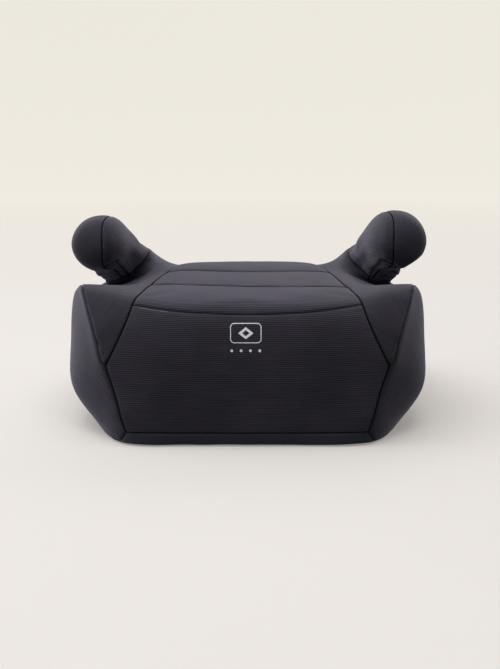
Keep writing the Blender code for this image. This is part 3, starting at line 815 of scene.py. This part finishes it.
def seam_relief(places, distance, at_seam, label):
    """Heights of the seams, rolled edges and puckers, and of the fuller sides and gussets."""
    height = -SEAM_DEPTH * bump(distance, SEAM_WIDTH) + SEAM_ROLL * roll(distance)
    pucker = noise(at_seam, 5.5, 3) + 0.6 * noise(at_seam, 2.6, 4)
    lively = 0.5 + 0.5 * noise(at_seam, 45, 5)
    height += PUCKER * lively * pucker * np.exp(-distance / 9) * (1 - bump(distance, 1.5))
    sides = np.char.startswith(label, "side")
    height += sides * SIDE_ROLL * roll(distance) * smoothstep(places[:, 2], 30, 90)
    wing = np.char.startswith(label, "gusset") | np.char.startswith(label, "root")
    swell = np.where(places[:, 0] < 0, *WING_SWELL) * bump(np.abs(places[:, 0]) - WING_MIDDLE, 15)
    return height + wing * swell * smoothstep(places[:, 1], 0, 40) * (1 - bump(distance, 4))


def quilting(places, distance, center):
    """Heights that quilting and padding give the centre panel, and how strongly shade is painted along the
    lines.
    """
    run = along(places[:, 1:], PROFILE)[0]
    side = places[:, 0] / SEAT_HALF
    quilt = np.full(len(places), FAR)
    channel = np.zeros(len(places))
    drawn = np.zeros(len(places))
    strength, width = CHANNEL_SHADE
    for spot, left, right, depth in CHANNELS:
        lift = np.where(side < 0, left, right) * np.abs(side) ** (CHANNEL_CURVE if left == right else 1)
        apart = np.abs(run - (spot - lift))
        quilt = np.minimum(quilt, apart + (1 - depth) * 10)
        channel = np.minimum(channel, -CHANNEL_DEPTH * depth * bump(apart, CHANNEL_WIDTH * depth**0.5))
        drawn = np.maximum(drawn, strength * bump(apart, width))
    seatward = center * (run < SEAT_END)
    puff = CHANNEL_PUFF * (1 - np.exp(-quilt / 16)) * (1 - np.exp(-distance / 14))
    ticks = noise(np.stack([places[:, 0], quilt * 0.2, run * 0], axis=1), 4.2, 8)
    height = seatward * channel + center * puff * (1 - smoothstep(run, *PUFF_END))
    height += center * REAR_EDGE_PUFF * (1 - smoothstep(run, *REAR_EDGE)) * (1 - np.exp(-distance / 6))
    height += seatward * 0.25 * ticks * np.exp(-quilt / 6) * (1 - bump(quilt, 1.2))
    return height, drawn * seatward


def gathering(places, normals, arms, necks):
    """Heights of the gathers under the necks and of the sleeves' folds, the gathers' weight and edge."""
    weight, fold, lip = (part * necks for part in gather_weight(places, normals))
    run, angle = arm_place(places)
    drop = places @ SLANT_UP + 0.25 * np.abs(places[:, 0])
    wave = drop / GATHER_PITCH + 0.8 * noise(places, 15, 9) + 0.3 * noise(places, 5, 10)
    ridges = np.sin(2 * np.pi * wave) * (0.65 + 0.35 * noise(places, 8, 11))
    height = weight * (GATHER_HEIGHT * ridges - GATHER_DEPTH) - GATHER_DEPTH * fold + GATHER_LIP * lip
    folds = np.sin(np.radians(angle) * 9 + 1.6 * noise(places, 40, 12)) * arms * (1 - weight)
    height += SLEEVE_FOLD * folds * band(run, *SLEEVE_FOLDS)
    return height, weight, fold


def dress(mesh, names, seam):
    """Moves the fine skin's points along its normals: seams, quilting, gathers and unevenness."""
    places = places_of(mesh)
    normals = vectors(mesh.vertex_normals, "vector")
    label = point_panels(mesh, names)
    arms = np.char.startswith(label, "arm")
    necks = arms | np.char.startswith(label, "root")
    shape_arms(places, normals, arms, necks)
    distance, closest = nearest(places * MM, places[seam] * MM)
    distance = distance / MM
    height = seam_relief(places, distance, places[seam][closest], label)
    height += sum(high * noise(places, size, seed) for high, size, seed in UNEVENNESS)
    quilted, drawn = quilting(places, distance, np.isin(label, ("seat", "front", "skirt")))
    bunched, gathered, fold = gathering(places, normals, arms, necks)
    height += quilted + bunched
    set_places(mesh, places + normals * height[:, None])
    # Painted shade: dark along the seams, the quilting lines and the edges of the gathers
    dark = np.maximum(np.maximum(bump(distance, SEAM_SHADE), FOLD_SHADE * fold), drawn)
    for name, values in (("gather", gathered), ("seam", dark)):
        layer = mesh.attributes.new(name, "FLOAT", "POINT")
        layer.data.foreach_set("value", values.astype(np.float32))


def weave_places(points, piece):
    """Coordinates along and across the cloth, in metres, in which the weave lies."""
    x, y, z = points.T
    if piece.startswith("side"):
        across, up = 0.7 * np.abs(x) - y, z
    elif piece.startswith("arm"):
        run, angle = arm_place(points)
        if "inner" in piece:
            angle = np.mod(angle, 360)
        across, up = np.radians(angle) * SLEEVE_RADIUS, run
    elif piece.startswith("hem"):
        across, up = x + y, z + x * 0.2
    elif piece.startswith("rear"):
        across, up = x, z
    else:
        back, rise = y - EDGE_AXIS[0], z - EDGE_AXIS[1]
        turn = EDGE_RADIUS * np.arctan2(np.maximum(-back, 0), np.maximum(rise, 0) + 1e-6)
        across, up = x, turn - np.maximum(back, 0) - np.minimum(rise, 0)
    return np.stack([across, up], axis=1) * MM


def cut_out(name, mesh, faces):
    """One sewn piece: its faces, its rim drawn in a little from the seam and turned down into it."""
    work = bmesh.new()
    work.from_mesh(mesh)
    keep = set(faces.tolist())
    normals = {vertex: vertex.normal.copy() for vertex in work.verts}
    bmesh.ops.delete(work, geom=[f for f in work.faces if f.index not in keep], context="FACES")
    rim = [edge for edge in work.edges if edge.is_boundary]
    inward = {}
    for edge in rim:
        face = edge.link_faces[0]
        middle = face.calc_center_median()
        direction = (edge.verts[1].co - edge.verts[0].co).normalized()
        side = direction.cross(face.normal)
        if side.dot(middle - edge.verts[0].co) < 0:
            side = -side
        for vertex in edge.verts:
            inward[vertex] = inward.get(vertex, Vector()) + side
    downward = {vertex.index: normals[vertex] for vertex in inward}
    for vertex, side in inward.items():
        if side.length > 1e-9:
            vertex.co += side.normalized() * RIM_GAP * MM
    for edge in rim:
        edge.smooth = False
        # The outermost faces are as dark as the fold, as painted seam shade, but not on the sides and the
        # hem, where they are wide.
        edge.link_faces[0].tag = not name.startswith(("side", "hem"))
    made = bmesh.ops.extrude_edge_only(work, edges=rim)["geom"]
    fresh = [item for item in made if isinstance(item, bmesh.types.BMVert)]
    for vertex in fresh:
        ends = [e.other_vert(vertex) for e in vertex.link_edges]
        source = next(v for v in ends if v not in fresh and v in inward)
        vertex.co -= downward[source.index] * RIM_SKIRT * MM
    result = bpy.data.meshes.new(name)
    fresh = set(fresh)
    # The skirt and the tagged faces take the second material, the painted shade of the seam.
    for polygon in work.faces:
        polygon.material_index = int(polygon.tag or not fresh.isdisjoint(polygon.verts))
        polygon.smooth = True
    work.to_mesh(result)
    work.free()
    uv = result.uv_layers.new(name="UVMap")
    spots = weave_places(places_of(result), name)[numbers(result.loops, "vertex_index")]
    uv.data.foreach_set("uv", spots.astype(np.float32).ravel())
    return link(name, result)


class Shader:
    """Small helper to lay out shader nodes."""

    def __init__(self, name):
        self.material = bpy.data.materials.new(name)
        self.material.use_nodes = True
        self.tree = self.material.node_tree
        self.out = self.tree.nodes["Principled BSDF"]

    def node(self, kind, **values):
        made = self.tree.nodes.new(kind)
        for key, value in values.items():
            setattr(made, key, value)
        return made

    def join(self, source, target):
        self.tree.links.new(source, target)

    def put(self, value, socket):
        if isinstance(value, (int, float)):
            socket.default_value = value
        else:
            self.join(value, socket)

    def math(self, operation, a, b=0.0):
        made = self.node("ShaderNodeMath", operation=operation)
        self.put(a, made.inputs[0])
        self.put(b, made.inputs[1])
        return made.outputs[0]

    def plus(self, a, b):
        return self.math("ADD", a, b)

    def times(self, a, b):
        return self.math("MULTIPLY", a, b)

    def spread(self, value, low, high, new_low, new_high):
        made = self.node("ShaderNodeMapRange")
        for socket, given in zip(made.inputs, (value, low, high, new_low, new_high)):
            self.put(given, socket)
        return made.outputs[0]

    def noise(self, vector, scale, detail=2.0, rough=0.5):
        made = self.node("ShaderNodeTexNoise")
        self.join(vector, made.inputs["Vector"])
        made.inputs["Scale"].default_value = scale
        made.inputs["Detail"].default_value = detail
        made.inputs["Roughness"].default_value = rough
        return made.outputs["Fac"]

    def attribute(self, name):
        return self.node("ShaderNodeAttribute", attribute_name=name).outputs["Fac"]

    def place(self, kind="Object"):
        return self.node("ShaderNodeTexCoord").outputs[kind]

    def mix(self, share, a, b):
        made = self.node("ShaderNodeMix", data_type="RGBA")
        self.put(share, made.inputs["Factor"])
        for socket, colour in zip((made.inputs["A"], made.inputs["B"]), (a, b)):
            if isinstance(colour, tuple):
                socket.default_value = (*colour, 1)
            else:
                self.join(colour, socket)
        return made.outputs["Result"]

    def wave(self, run):
        """A sine wave from 0 to 1."""
        return self.plus(self.times(self.math("SINE", run), 0.5), 0.5)

    def colour(self, source):
        self.join(source, self.out.inputs["Base Color"])

    def rough(self, source, low, high, span=(0.3, 0.7)):
        """Roughness from low to high while the source goes through its span."""
        self.join(self.spread(source, *span, low, high), self.out.inputs["Roughness"])

    def bump(self, height, distance, strength=1.0):
        made = self.node("ShaderNodeBump")
        made.inputs["Strength"].default_value = strength
        made.inputs["Distance"].default_value = distance
        self.join(height, made.inputs["Height"])
        self.join(made.outputs["Normal"], self.out.inputs["Normal"])

    def set(self, **values):
        for key, value in values.items():
            socket = self.out.inputs[key.replace("_", " ")]
            socket.default_value = value if isinstance(value, (int, float)) else (*value, 1)


def weave(name, turn, ribs):
    """Ribbed upholstery cloth: ribs in one direction, fine yarns across them and a soft sheen, with a
    highlight painted on the rib ridges and shade painted into the seams, quilting lines and gathers.
    """
    look = Shader(name)
    split = look.node("ShaderNodeSeparateXYZ")
    look.join(look.node("ShaderNodeUVMap", uv_map="UVMap").outputs[0], split.inputs[0])
    u, v = split.outputs[0], split.outputs[1]
    cos, sin = math.cos(math.radians(turn)), math.sin(math.radians(turn))
    across = look.plus(look.times(v, cos), look.times(u, sin))
    along_rib = look.math("SUBTRACT", look.times(u, cos), look.times(v, sin))
    position = look.place()
    uneven = look.noise(position, 60, 3.0)
    wobble = look.times(look.math("SUBTRACT", uneven, 0.5), 0.0012)
    run = look.times(look.plus(across, wobble), 2 * math.pi / (RIB_PITCH * MM))
    rib = look.wave(run)
    yarn = look.wave(look.times(along_rib, 2 * math.pi / (YARN_PITCH * MM)))
    fibre = look.noise(position, 1400, 2.0, 0.7)
    streak = look.node("ShaderNodeCombineXYZ")
    look.join(look.times(across, 430), streak.inputs[0])
    look.join(look.times(along_rib, 22), streak.inputs[1])
    yarns = look.noise(streak.outputs[0], 1.0, 3.0, 0.6)
    patch = look.noise(position, 17, 3.0)
    height = look.plus(look.times(rib, 0.55 * ribs), look.times(yarn, 0.25))
    height = look.plus(height, look.times(fibre, 0.35))
    # Lighter along the rib ridges, a painted highlight; the yarns and patches are the cloth's own uneven
    # tone.
    shade = look.plus(look.times(rib, 0.4 * ribs), look.times(yarns, 0.5))
    shade = look.plus(shade, look.times(look.math("SUBTRACT", patch, 0.5), 0.5))
    shade = look.spread(shade, 0.1, 0.85, 0.0, 1.0)
    cloth = look.mix(shade, DARK_YARN, LIGHT_YARN_AND_HIGHLIGHT)
    # Painted shade in the gathers under the necks: the cloth there is mixed a quarter of the way to near
    # black.
    gather_shaded = look.mix(look.times(look.attribute("gather"), 0.25), cloth, (0.006, 0.006, 0.009))
    # Painted shade: the seams, quilting lines and edges of the gathers are mixed almost to black.
    seam = look.times(look.attribute("seam"), 0.95)
    look.colour(look.mix(seam, gather_shaded, (0.002, 0.002, 0.003)))
    look.rough(fibre, 0.78, 0.95)
    look.bump(height, 0.0006, 0.75)
    look.set(Sheen_Weight=0.32, Sheen_Roughness=0.45, Sheen_Tint=(0.88, 0.84, 1.0), Specular_IOR_Level=0.25)
    return look.material


def plain(name, shade, colours, rough, span=None, relief=None, bump=None, cloth=False, **values):
    """A material of one noise for its shade and another for its relief.

    The roughness of cloth follows the relief, that of anything else the shade."""
    look = Shader(name)
    position = look.place()
    tone = look.noise(position, *shade)
    fine = look.noise(position, *relief) if relief else tone
    look.colour(look.mix(look.spread(tone, *span, 0.0, 1.0) if span else tone, *colours))
    look.rough(fine if cloth else tone, *rough)
    if bump:
        look.bump(fine, *bump)
    look.set(**values)
    return look.material


def elastic_cord(name):
    look = Shader(name)
    position = look.place()
    braid = look.node("ShaderNodeTexWave")
    look.join(position, braid.inputs["Vector"])
    braid.inputs["Scale"].default_value = 420
    braid.inputs["Distortion"].default_value = 3
    look.colour(look.mix(braid.outputs["Fac"], (0.01, 0.01, 0.01), (0.05, 0.05, 0.052)))
    look.rough(braid.outputs["Fac"], 0.7, 0.9, (0.0, 1.0))
    look.bump(braid.outputs["Fac"], 0.0004, 0.7)
    return look.material


def print_ink(name):
    """White screen print, thin enough for the weave to show through."""
    look = Shader(name)
    position = look.place()
    split = look.node("ShaderNodeSeparateXYZ")
    look.join(position, split.inputs[0])
    run = look.times(split.outputs[2], 2 * math.pi / (RIB_PITCH * MM))
    rib = look.wave(run)
    speck = look.noise(position, 1300, 2.0, 0.7)
    cover = look.spread(look.plus(look.times(rib, 0.25), speck), 0.3, 0.8, 0.0, 1.0)
    look.colour(look.mix(cover, (0.62, 0.62, 0.62), (0.86, 0.86, 0.86)))
    look.rough(speck, 0.55, 0.75)
    look.bump(speck, 0.0002, 0.5)
    return look.material


def studio_floor(name):
    """Pale paper, lit by the lamps near the seat and glowing evenly further out."""
    look = Shader(name)
    position = look.place()
    cloud = look.noise(position, 2.0, 2.0)
    far = look.node("ShaderNodeVectorMath", operation="LENGTH")
    look.join(position, far.inputs[0])
    far = look.spread(far.outputs["Value"], 0.5, 2.2, 0.0, 1.0)
    look.colour(look.mix(far, look.mix(cloud, *PAPER_NEAR), PAPER_FAR))
    look.join(look.mix(far, GLOW_NEAR, GLOW_FAR), look.out.inputs["Emission Color"])
    look.rough(cloud, 0.75, 0.85)
    look.set(Specular_IOR_Level=0.0, Emission_Strength=1.0)
    return look.material


def seam_line(points, first, second):
    """The points of one seam put in order along it, from the end nearest to the first place to the second."""
    rest = [Vector(point) for point in points]
    here = min(rest, key=lambda point: (point - Vector(first)).length)
    order = []
    while rest:
        here = min(rest, key=lambda point: (point - here).length)
        if order and (here - order[-1]).length > SEAM_JUMP:
            break
        rest.remove(here)
        order.append(here)
        if (here - Vector(second)).length < SEAM_END:
            break
    return order


def made_object(name, work, material):
    """The bmesh as a smooth object with one material."""
    for face in work.faces:
        face.smooth = True
    mesh = bpy.data.meshes.new(name)
    work.to_mesh(mesh)
    work.free()
    mesh.materials.append(material)
    return link(name, mesh)


def stitched(name, spots, material):
    """Short raised stitches, each a flat-bottomed lozenge lying on the cloth."""
    work = bmesh.new()
    for middle, direction, up, length, width in spots:
        side = direction.cross(up).normalized()
        low = up * (-width * 0.5)
        ring = []
        for t, w, h in STITCH_RING:
            at = middle + direction * t * length
            lift = up * (width * (h - 0.15))
            section = [(-1, low), (-0.45, lift), (0.45, lift), (1, low)]
            ring.append([work.verts.new((at + side * width / 2 * w * k + rise) * MM) for k, rise in section])
        for a, b in zip(ring, ring[1:]):
            for i in range(3):
                work.faces.new((a[i], a[i + 1], b[i + 1], b[i]))
        work.faces.new(ring[0])
        work.faces.new(ring[-1][::-1])
    bmesh.ops.recalc_face_normals(work, faces=work.faces[:])
    obj = made_object(name, work, material)
    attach(obj, "root")


def surface_tree(obj):
    points = [vertex.co.copy() for vertex in obj.data.vertices]
    return BVHTree.FromPolygons(points, [tuple(polygon.vertices) for polygon in obj.data.polygons])


def row_of_stitches(line, tree, stitch, sign=1):
    """Stitches beside a line, laid on the cloth that the tree holds."""
    aside, spacing, length, width, crosswise = stitch
    spots = []
    run = 0
    for a, b in zip(line, line[1:]):
        step = (b - a).length
        while run <= step and step > 1e-6:
            at = a.lerp(b, run / step)
            normal = tree.find_nearest(at * MM)[1]
            direction = (b - a).normalized()
            side = direction.cross(normal).normalized()
            wanted = at + side * aside * sign
            spot, normal, _, _ = tree.find_nearest(wanted * MM)
            if (spot / MM - wanted).length < STITCH_MISS:
                way = side if crosswise else (direction - normal * direction.dot(normal)).normalized()
                spots.append((spot / MM + normal * STITCH_LIFT, way, normal, length, width))
            run += spacing
        run -= step
    return spots


def emblem_shapes():
    """A plain generic badge: a rounded frame, a diamond in it and four dots below."""

    def rounded(width, height, radius):
        points = []
        for sx, sy, start in ((1, 1, 0), (-1, 1, 90), (-1, -1, 180), (1, -1, 270)):
            for step in range(7):
                angle = math.radians(start + step * 15)
                x = sx * (width / 2 - radius) + radius * math.cos(angle)
                points.append((x, sy * (height / 2 - radius) + radius * math.sin(angle)))
        return points

    def diamond(half_width, half_height):
        return [(0, half_height), (-half_width, 0), (0, -half_height), (half_width, 0)]

    shapes = [zip(*(rounded(*size) for size in EMBLEM_FRAME))]
    shapes.append(zip(*(diamond(*size) for size in EMBLEM_DIAMOND)))
    turns = [math.radians(22.5 * i) for i in range(16)]
    for x in EMBLEM_DOTS:
        circle = [(x + DOT_RADIUS * math.cos(a), DOT_Z + DOT_RADIUS * math.sin(a)) for a in turns]
        shapes.append(zip(circle, [(x, DOT_Z)] * len(turns)))
    return [list(shape) for shape in shapes]


def make_emblem(tree, material):
    """The badge, printed on the cloth that the tree holds."""
    work = bmesh.new()
    for shape in emblem_shapes():
        rows = []
        for here, after in zip(shape, shape[1:] + shape[:1]):
            outer, inner = (Vector(p) for p in here)
            after_outer, after_inner = (Vector(p) for p in after)
            pieces = max(1, round((after_outer - outer).length / 1.2))
            for step in range(pieces):
                t = step / pieces
                rows.append((outer.lerp(after_outer, t), inner.lerp(after_inner, t)))
        verts = []
        for outer, inner in rows:
            pair = []
            for t in (0, 0.5, 1):
                x, z = outer.lerp(inner, t)
                start = Vector((x + EMBLEM_AT[0], -260, z + EMBLEM_AT[1]))
                hit, normal, _, _ = tree.ray_cast(start * MM, Vector((0, 1, 0)))
                pair.append(work.verts.new(hit + normal * PRINT_LIFT * MM))
            verts.append(pair)
        for a, b in zip(verts, verts[1:] + verts[:1]):
            for i in range(2):
                work.faces.new((a[i], a[i + 1], b[i + 1], b[i]))
    bmesh.ops.remove_doubles(work, verts=work.verts[:], dist=0.00002)
    bmesh.ops.recalc_face_normals(work, faces=work.faces[:])
    obj = made_object("front_badge", work, material)
    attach(obj, "root")


def make_covers():
    """The sewn pieces of the cover by name, the whole skin they were cut from, and its faces' pieces."""
    skin, names = fitted_skin(build_cage(), SIM_LEVELS)
    coarse_pieces = piece_of_faces(skin, names)
    held = set(seam_points(skin, coarse_pieces))
    for face, piece in zip(skin.polygons, coarse_pieces):
        if list(PIECES)[piece] == "hem_band":
            held.update(face.vertices)
    sleeve = [name.startswith("arm") for name in names]
    loose = {i for face in skin.polygons if sleeve[face.material_index] for i in face.vertices}
    settle(skin, sorted(held), sorted(loose))
    fine = subdivided(skin, FINE_LEVELS)
    pieces = piece_of_faces(fine, names)
    lower_side_seam(fine, names, pieces)
    dress(fine, names, np.array(seam_points(fine, pieces)))
    covers = {}
    # Second material of every piece: painted shade on the rims turned down into the seams
    edge = plain("seam_painted_shade", **PAINTED_SEAM_SHADE)
    for number, (name, (panels, slot, nodes, fill, turn)) in enumerate(PIECES.items()):
        obj = cut_out(name, fine, np.flatnonzero(pieces == number))
        if slot == "hem_fabric":
            obj.data.materials.append(plain("hem_cloth", **BINDING))
        else:
            ribs = RIB_STRENGTHS.get(name.split("_")[0], 1.0)
            obj.data.materials.append(weave(name + "_cloth", turn, ribs))
        obj.data.materials.append(edge)
        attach(obj, "root")
        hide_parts(*nodes)
        covers[name] = obj
    return covers, fine, pieces


def seams_between(mesh, pieces, a, b):
    """Places of the fine skin's points that two named pieces share."""
    order = list(PIECES)
    first, second = order.index(a), order.index(b)
    touched = {first: set(), second: set()}
    for face, piece in zip(mesh.polygons, pieces):
        if piece in touched:
            touched[piece].update(face.vertices)
    shared = touched[first] & touched[second]
    return [mesh.vertices[i].co / MM for i in sorted(shared)]


def quilt_line(first, last, below):
    """A line just below the front quilting line, between two places across the seat."""
    profile = np.array(PROFILE, float)
    steps = steps_along(profile)
    spot, lift = CHANNELS[-1][:2]
    line = []
    for x in np.linspace(first, last, 12):
        run = spot - lift * abs(x / SEAT_HALF) ** CHANNEL_CURVE + below
        line.append(Vector((x, *(np.interp(run, steps, profile[:, i]) for i in range(2)))))
    return line


def make_stitches(covers, fine, pieces):
    """Dashes under the front quilting line, and rows beside the gussets' and the seat's seams."""
    material = plain("seam_thread", **THREAD)
    seat = surface_tree(covers["seat_cover"])
    stitched("quilt_stitches", row_of_stitches(quilt_line(-116, -86, 2.2), seat, QUILT_STITCH), material)
    for side, sign in (("left", -1), ("right", 1)):
        gusset = "gusset_cover_" + side
        cloth = surface_tree(covers[gusset])
        point = (sign * 155, -177, 89)
        outer = seams_between(fine, pieces, gusset, "side_cover_" + side)
        line = seam_line(outer, (sign * 151, 171, 122), point)
        # These stitches are also the painted highlights on the small ridges beside the outer seam.
        stitched("gusset_stitches_" + side, row_of_stitches(line, cloth, GUSSET_HIGHLIGHT_STITCH, sign), material)
        inner = seams_between(fine, pieces, gusset, "seat_cover")
        line = seam_line(inner, (sign * 79, 171, 134), point)
        stitched("seat_stitches_" + side, row_of_stitches(line, seat, SEAT_STITCH, sign), material)


def carried_nodes():
    """Materials for the nodes that stay as modelled."""
    looks = {
        "base_shell": plain("shell_plastic", **PLASTIC),
        "base_tray": plain("tray_plastic", **PLASTIC),
        "arm_core": plain("core_plastic", **PLASTIC),
        "arm_screw": plain("screw_steel", **STEEL),
        "foot": plain("foot_rubber", **RUBBER),
        "hem_elastic": elastic_cord("elastic_braid"),
    }
    for node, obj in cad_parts.items():
        for start, look in looks.items():
            if node.startswith(start):
                obj.data.materials.clear()
                obj.data.materials.append(look)


def make_stage():
    """A round pale floor that sweeps up into a backdrop on every side."""
    profile = [(0.8, 0.0), (FLOOR_RADIUS, 0.0)]
    for step in range(1, 11):
        angle = math.radians(step * 9)
        profile.append((FLOOR_RADIUS + math.sin(angle), 1 - math.cos(angle)))
    profile.append((FLOOR_RADIUS + 1, 3.6))
    work = bmesh.new()
    angles = [2 * math.pi * i / FLOOR_SIDES for i in range(FLOOR_SIDES)]
    rings = []
    for radius, z in profile:
        rings.append([work.verts.new((radius * math.cos(a), radius * math.sin(a), z)) for a in angles])
    middle = work.verts.new((0, 0, 0))
    for i in range(FLOOR_SIDES):
        work.faces.new((middle, rings[0][i - 1], rings[0][i]))
        for lower, upper in zip(rings, rings[1:]):
            work.faces.new((lower[i - 1], upper[i - 1], upper[i], lower[i]))
    bmesh.ops.recalc_face_normals(work, faces=work.faces[:])
    bmesh.ops.reverse_faces(work, faces=work.faces[:])
    sweep = made_object("sweep", work, studio_floor("sweep_paint"))
    sweep.visible_diffuse = sweep.visible_glossy = False
    sweep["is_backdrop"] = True


def area_light(name, at, size, power, colour):
    """A rectangular lamp that points at the seat."""
    lamp = bpy.data.lights.new(name, "AREA")
    lamp.shape = "RECTANGLE"
    lamp.size, lamp.size_y = size
    lamp.energy = power
    lamp.color = colour
    obj = link(name, lamp)
    obj.location = at
    obj.rotation_euler = (Vector(LAMP_TARGET) - Vector(at)).to_track_quat("-Z", "Y").to_euler()


def make_light():
    """Soft room light that is strongest from the left and from behind, and the lamps."""
    world = bpy.data.worlds.new("room")
    bpy.context.scene.world = world
    world.use_nodes = True
    nodes, links = world.node_tree.nodes, world.node_tree.links
    split = nodes.new("ShaderNodeSeparateXYZ")
    links.new(nodes.new("ShaderNodeTexCoord").outputs["Generated"], split.inputs[0])
    total = None
    for axis, share in enumerate(ROOM_SLOPE):
        part = nodes.new("ShaderNodeMath")
        part.operation = "MULTIPLY_ADD"
        links.new(split.outputs[axis], part.inputs[0])
        part.inputs[1].default_value = share
        if total:
            links.new(total, part.inputs[2])
        else:
            part.inputs[2].default_value = ROOM_LIGHT
        total = part.outputs[0]
    background = nodes["Background"]
    background.inputs["Color"].default_value = (0.98, 0.96, 1.0, 1)
    links.new(total, background.inputs["Strength"])
    for lamp in LAMPS:
        area_light(*lamp)


def make_camera():
    lens = bpy.data.cameras.new("camera")
    lens.lens = FOCAL_LENGTH
    lens.sensor_width = 36
    camera = link("camera", lens)
    low, high = cad_box
    aim = low.lerp(high, 0.5) + Vector((AIM_ASIDE, 0, (AIM_HEIGHT - 0.5) * (high.z - low.z)))
    tilt = math.radians(CAMERA_TILT)
    camera.location = aim + Vector((0, -math.cos(tilt), math.sin(tilt))) * CAMERA_DISTANCE
    camera.rotation_euler = (aim - camera.location).to_track_quat("-Z", "Y").to_euler()
    bpy.context.scene.camera = camera


bpy.context.scene.view_settings.view_transform = "Standard"
make_camera()
covers, fine, pieces = make_covers()
make_stitches(covers, fine, pieces)
make_emblem(surface_tree(covers["seat_cover"]), print_ink("badge_ink"))
carried_nodes()
bpy.data.meshes.remove(fine)
make_stage()
make_light()

boxes = {"cad": cad_box, "visual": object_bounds()}
{name: [list(corner) for corner in box] for name, box in boxes.items()}
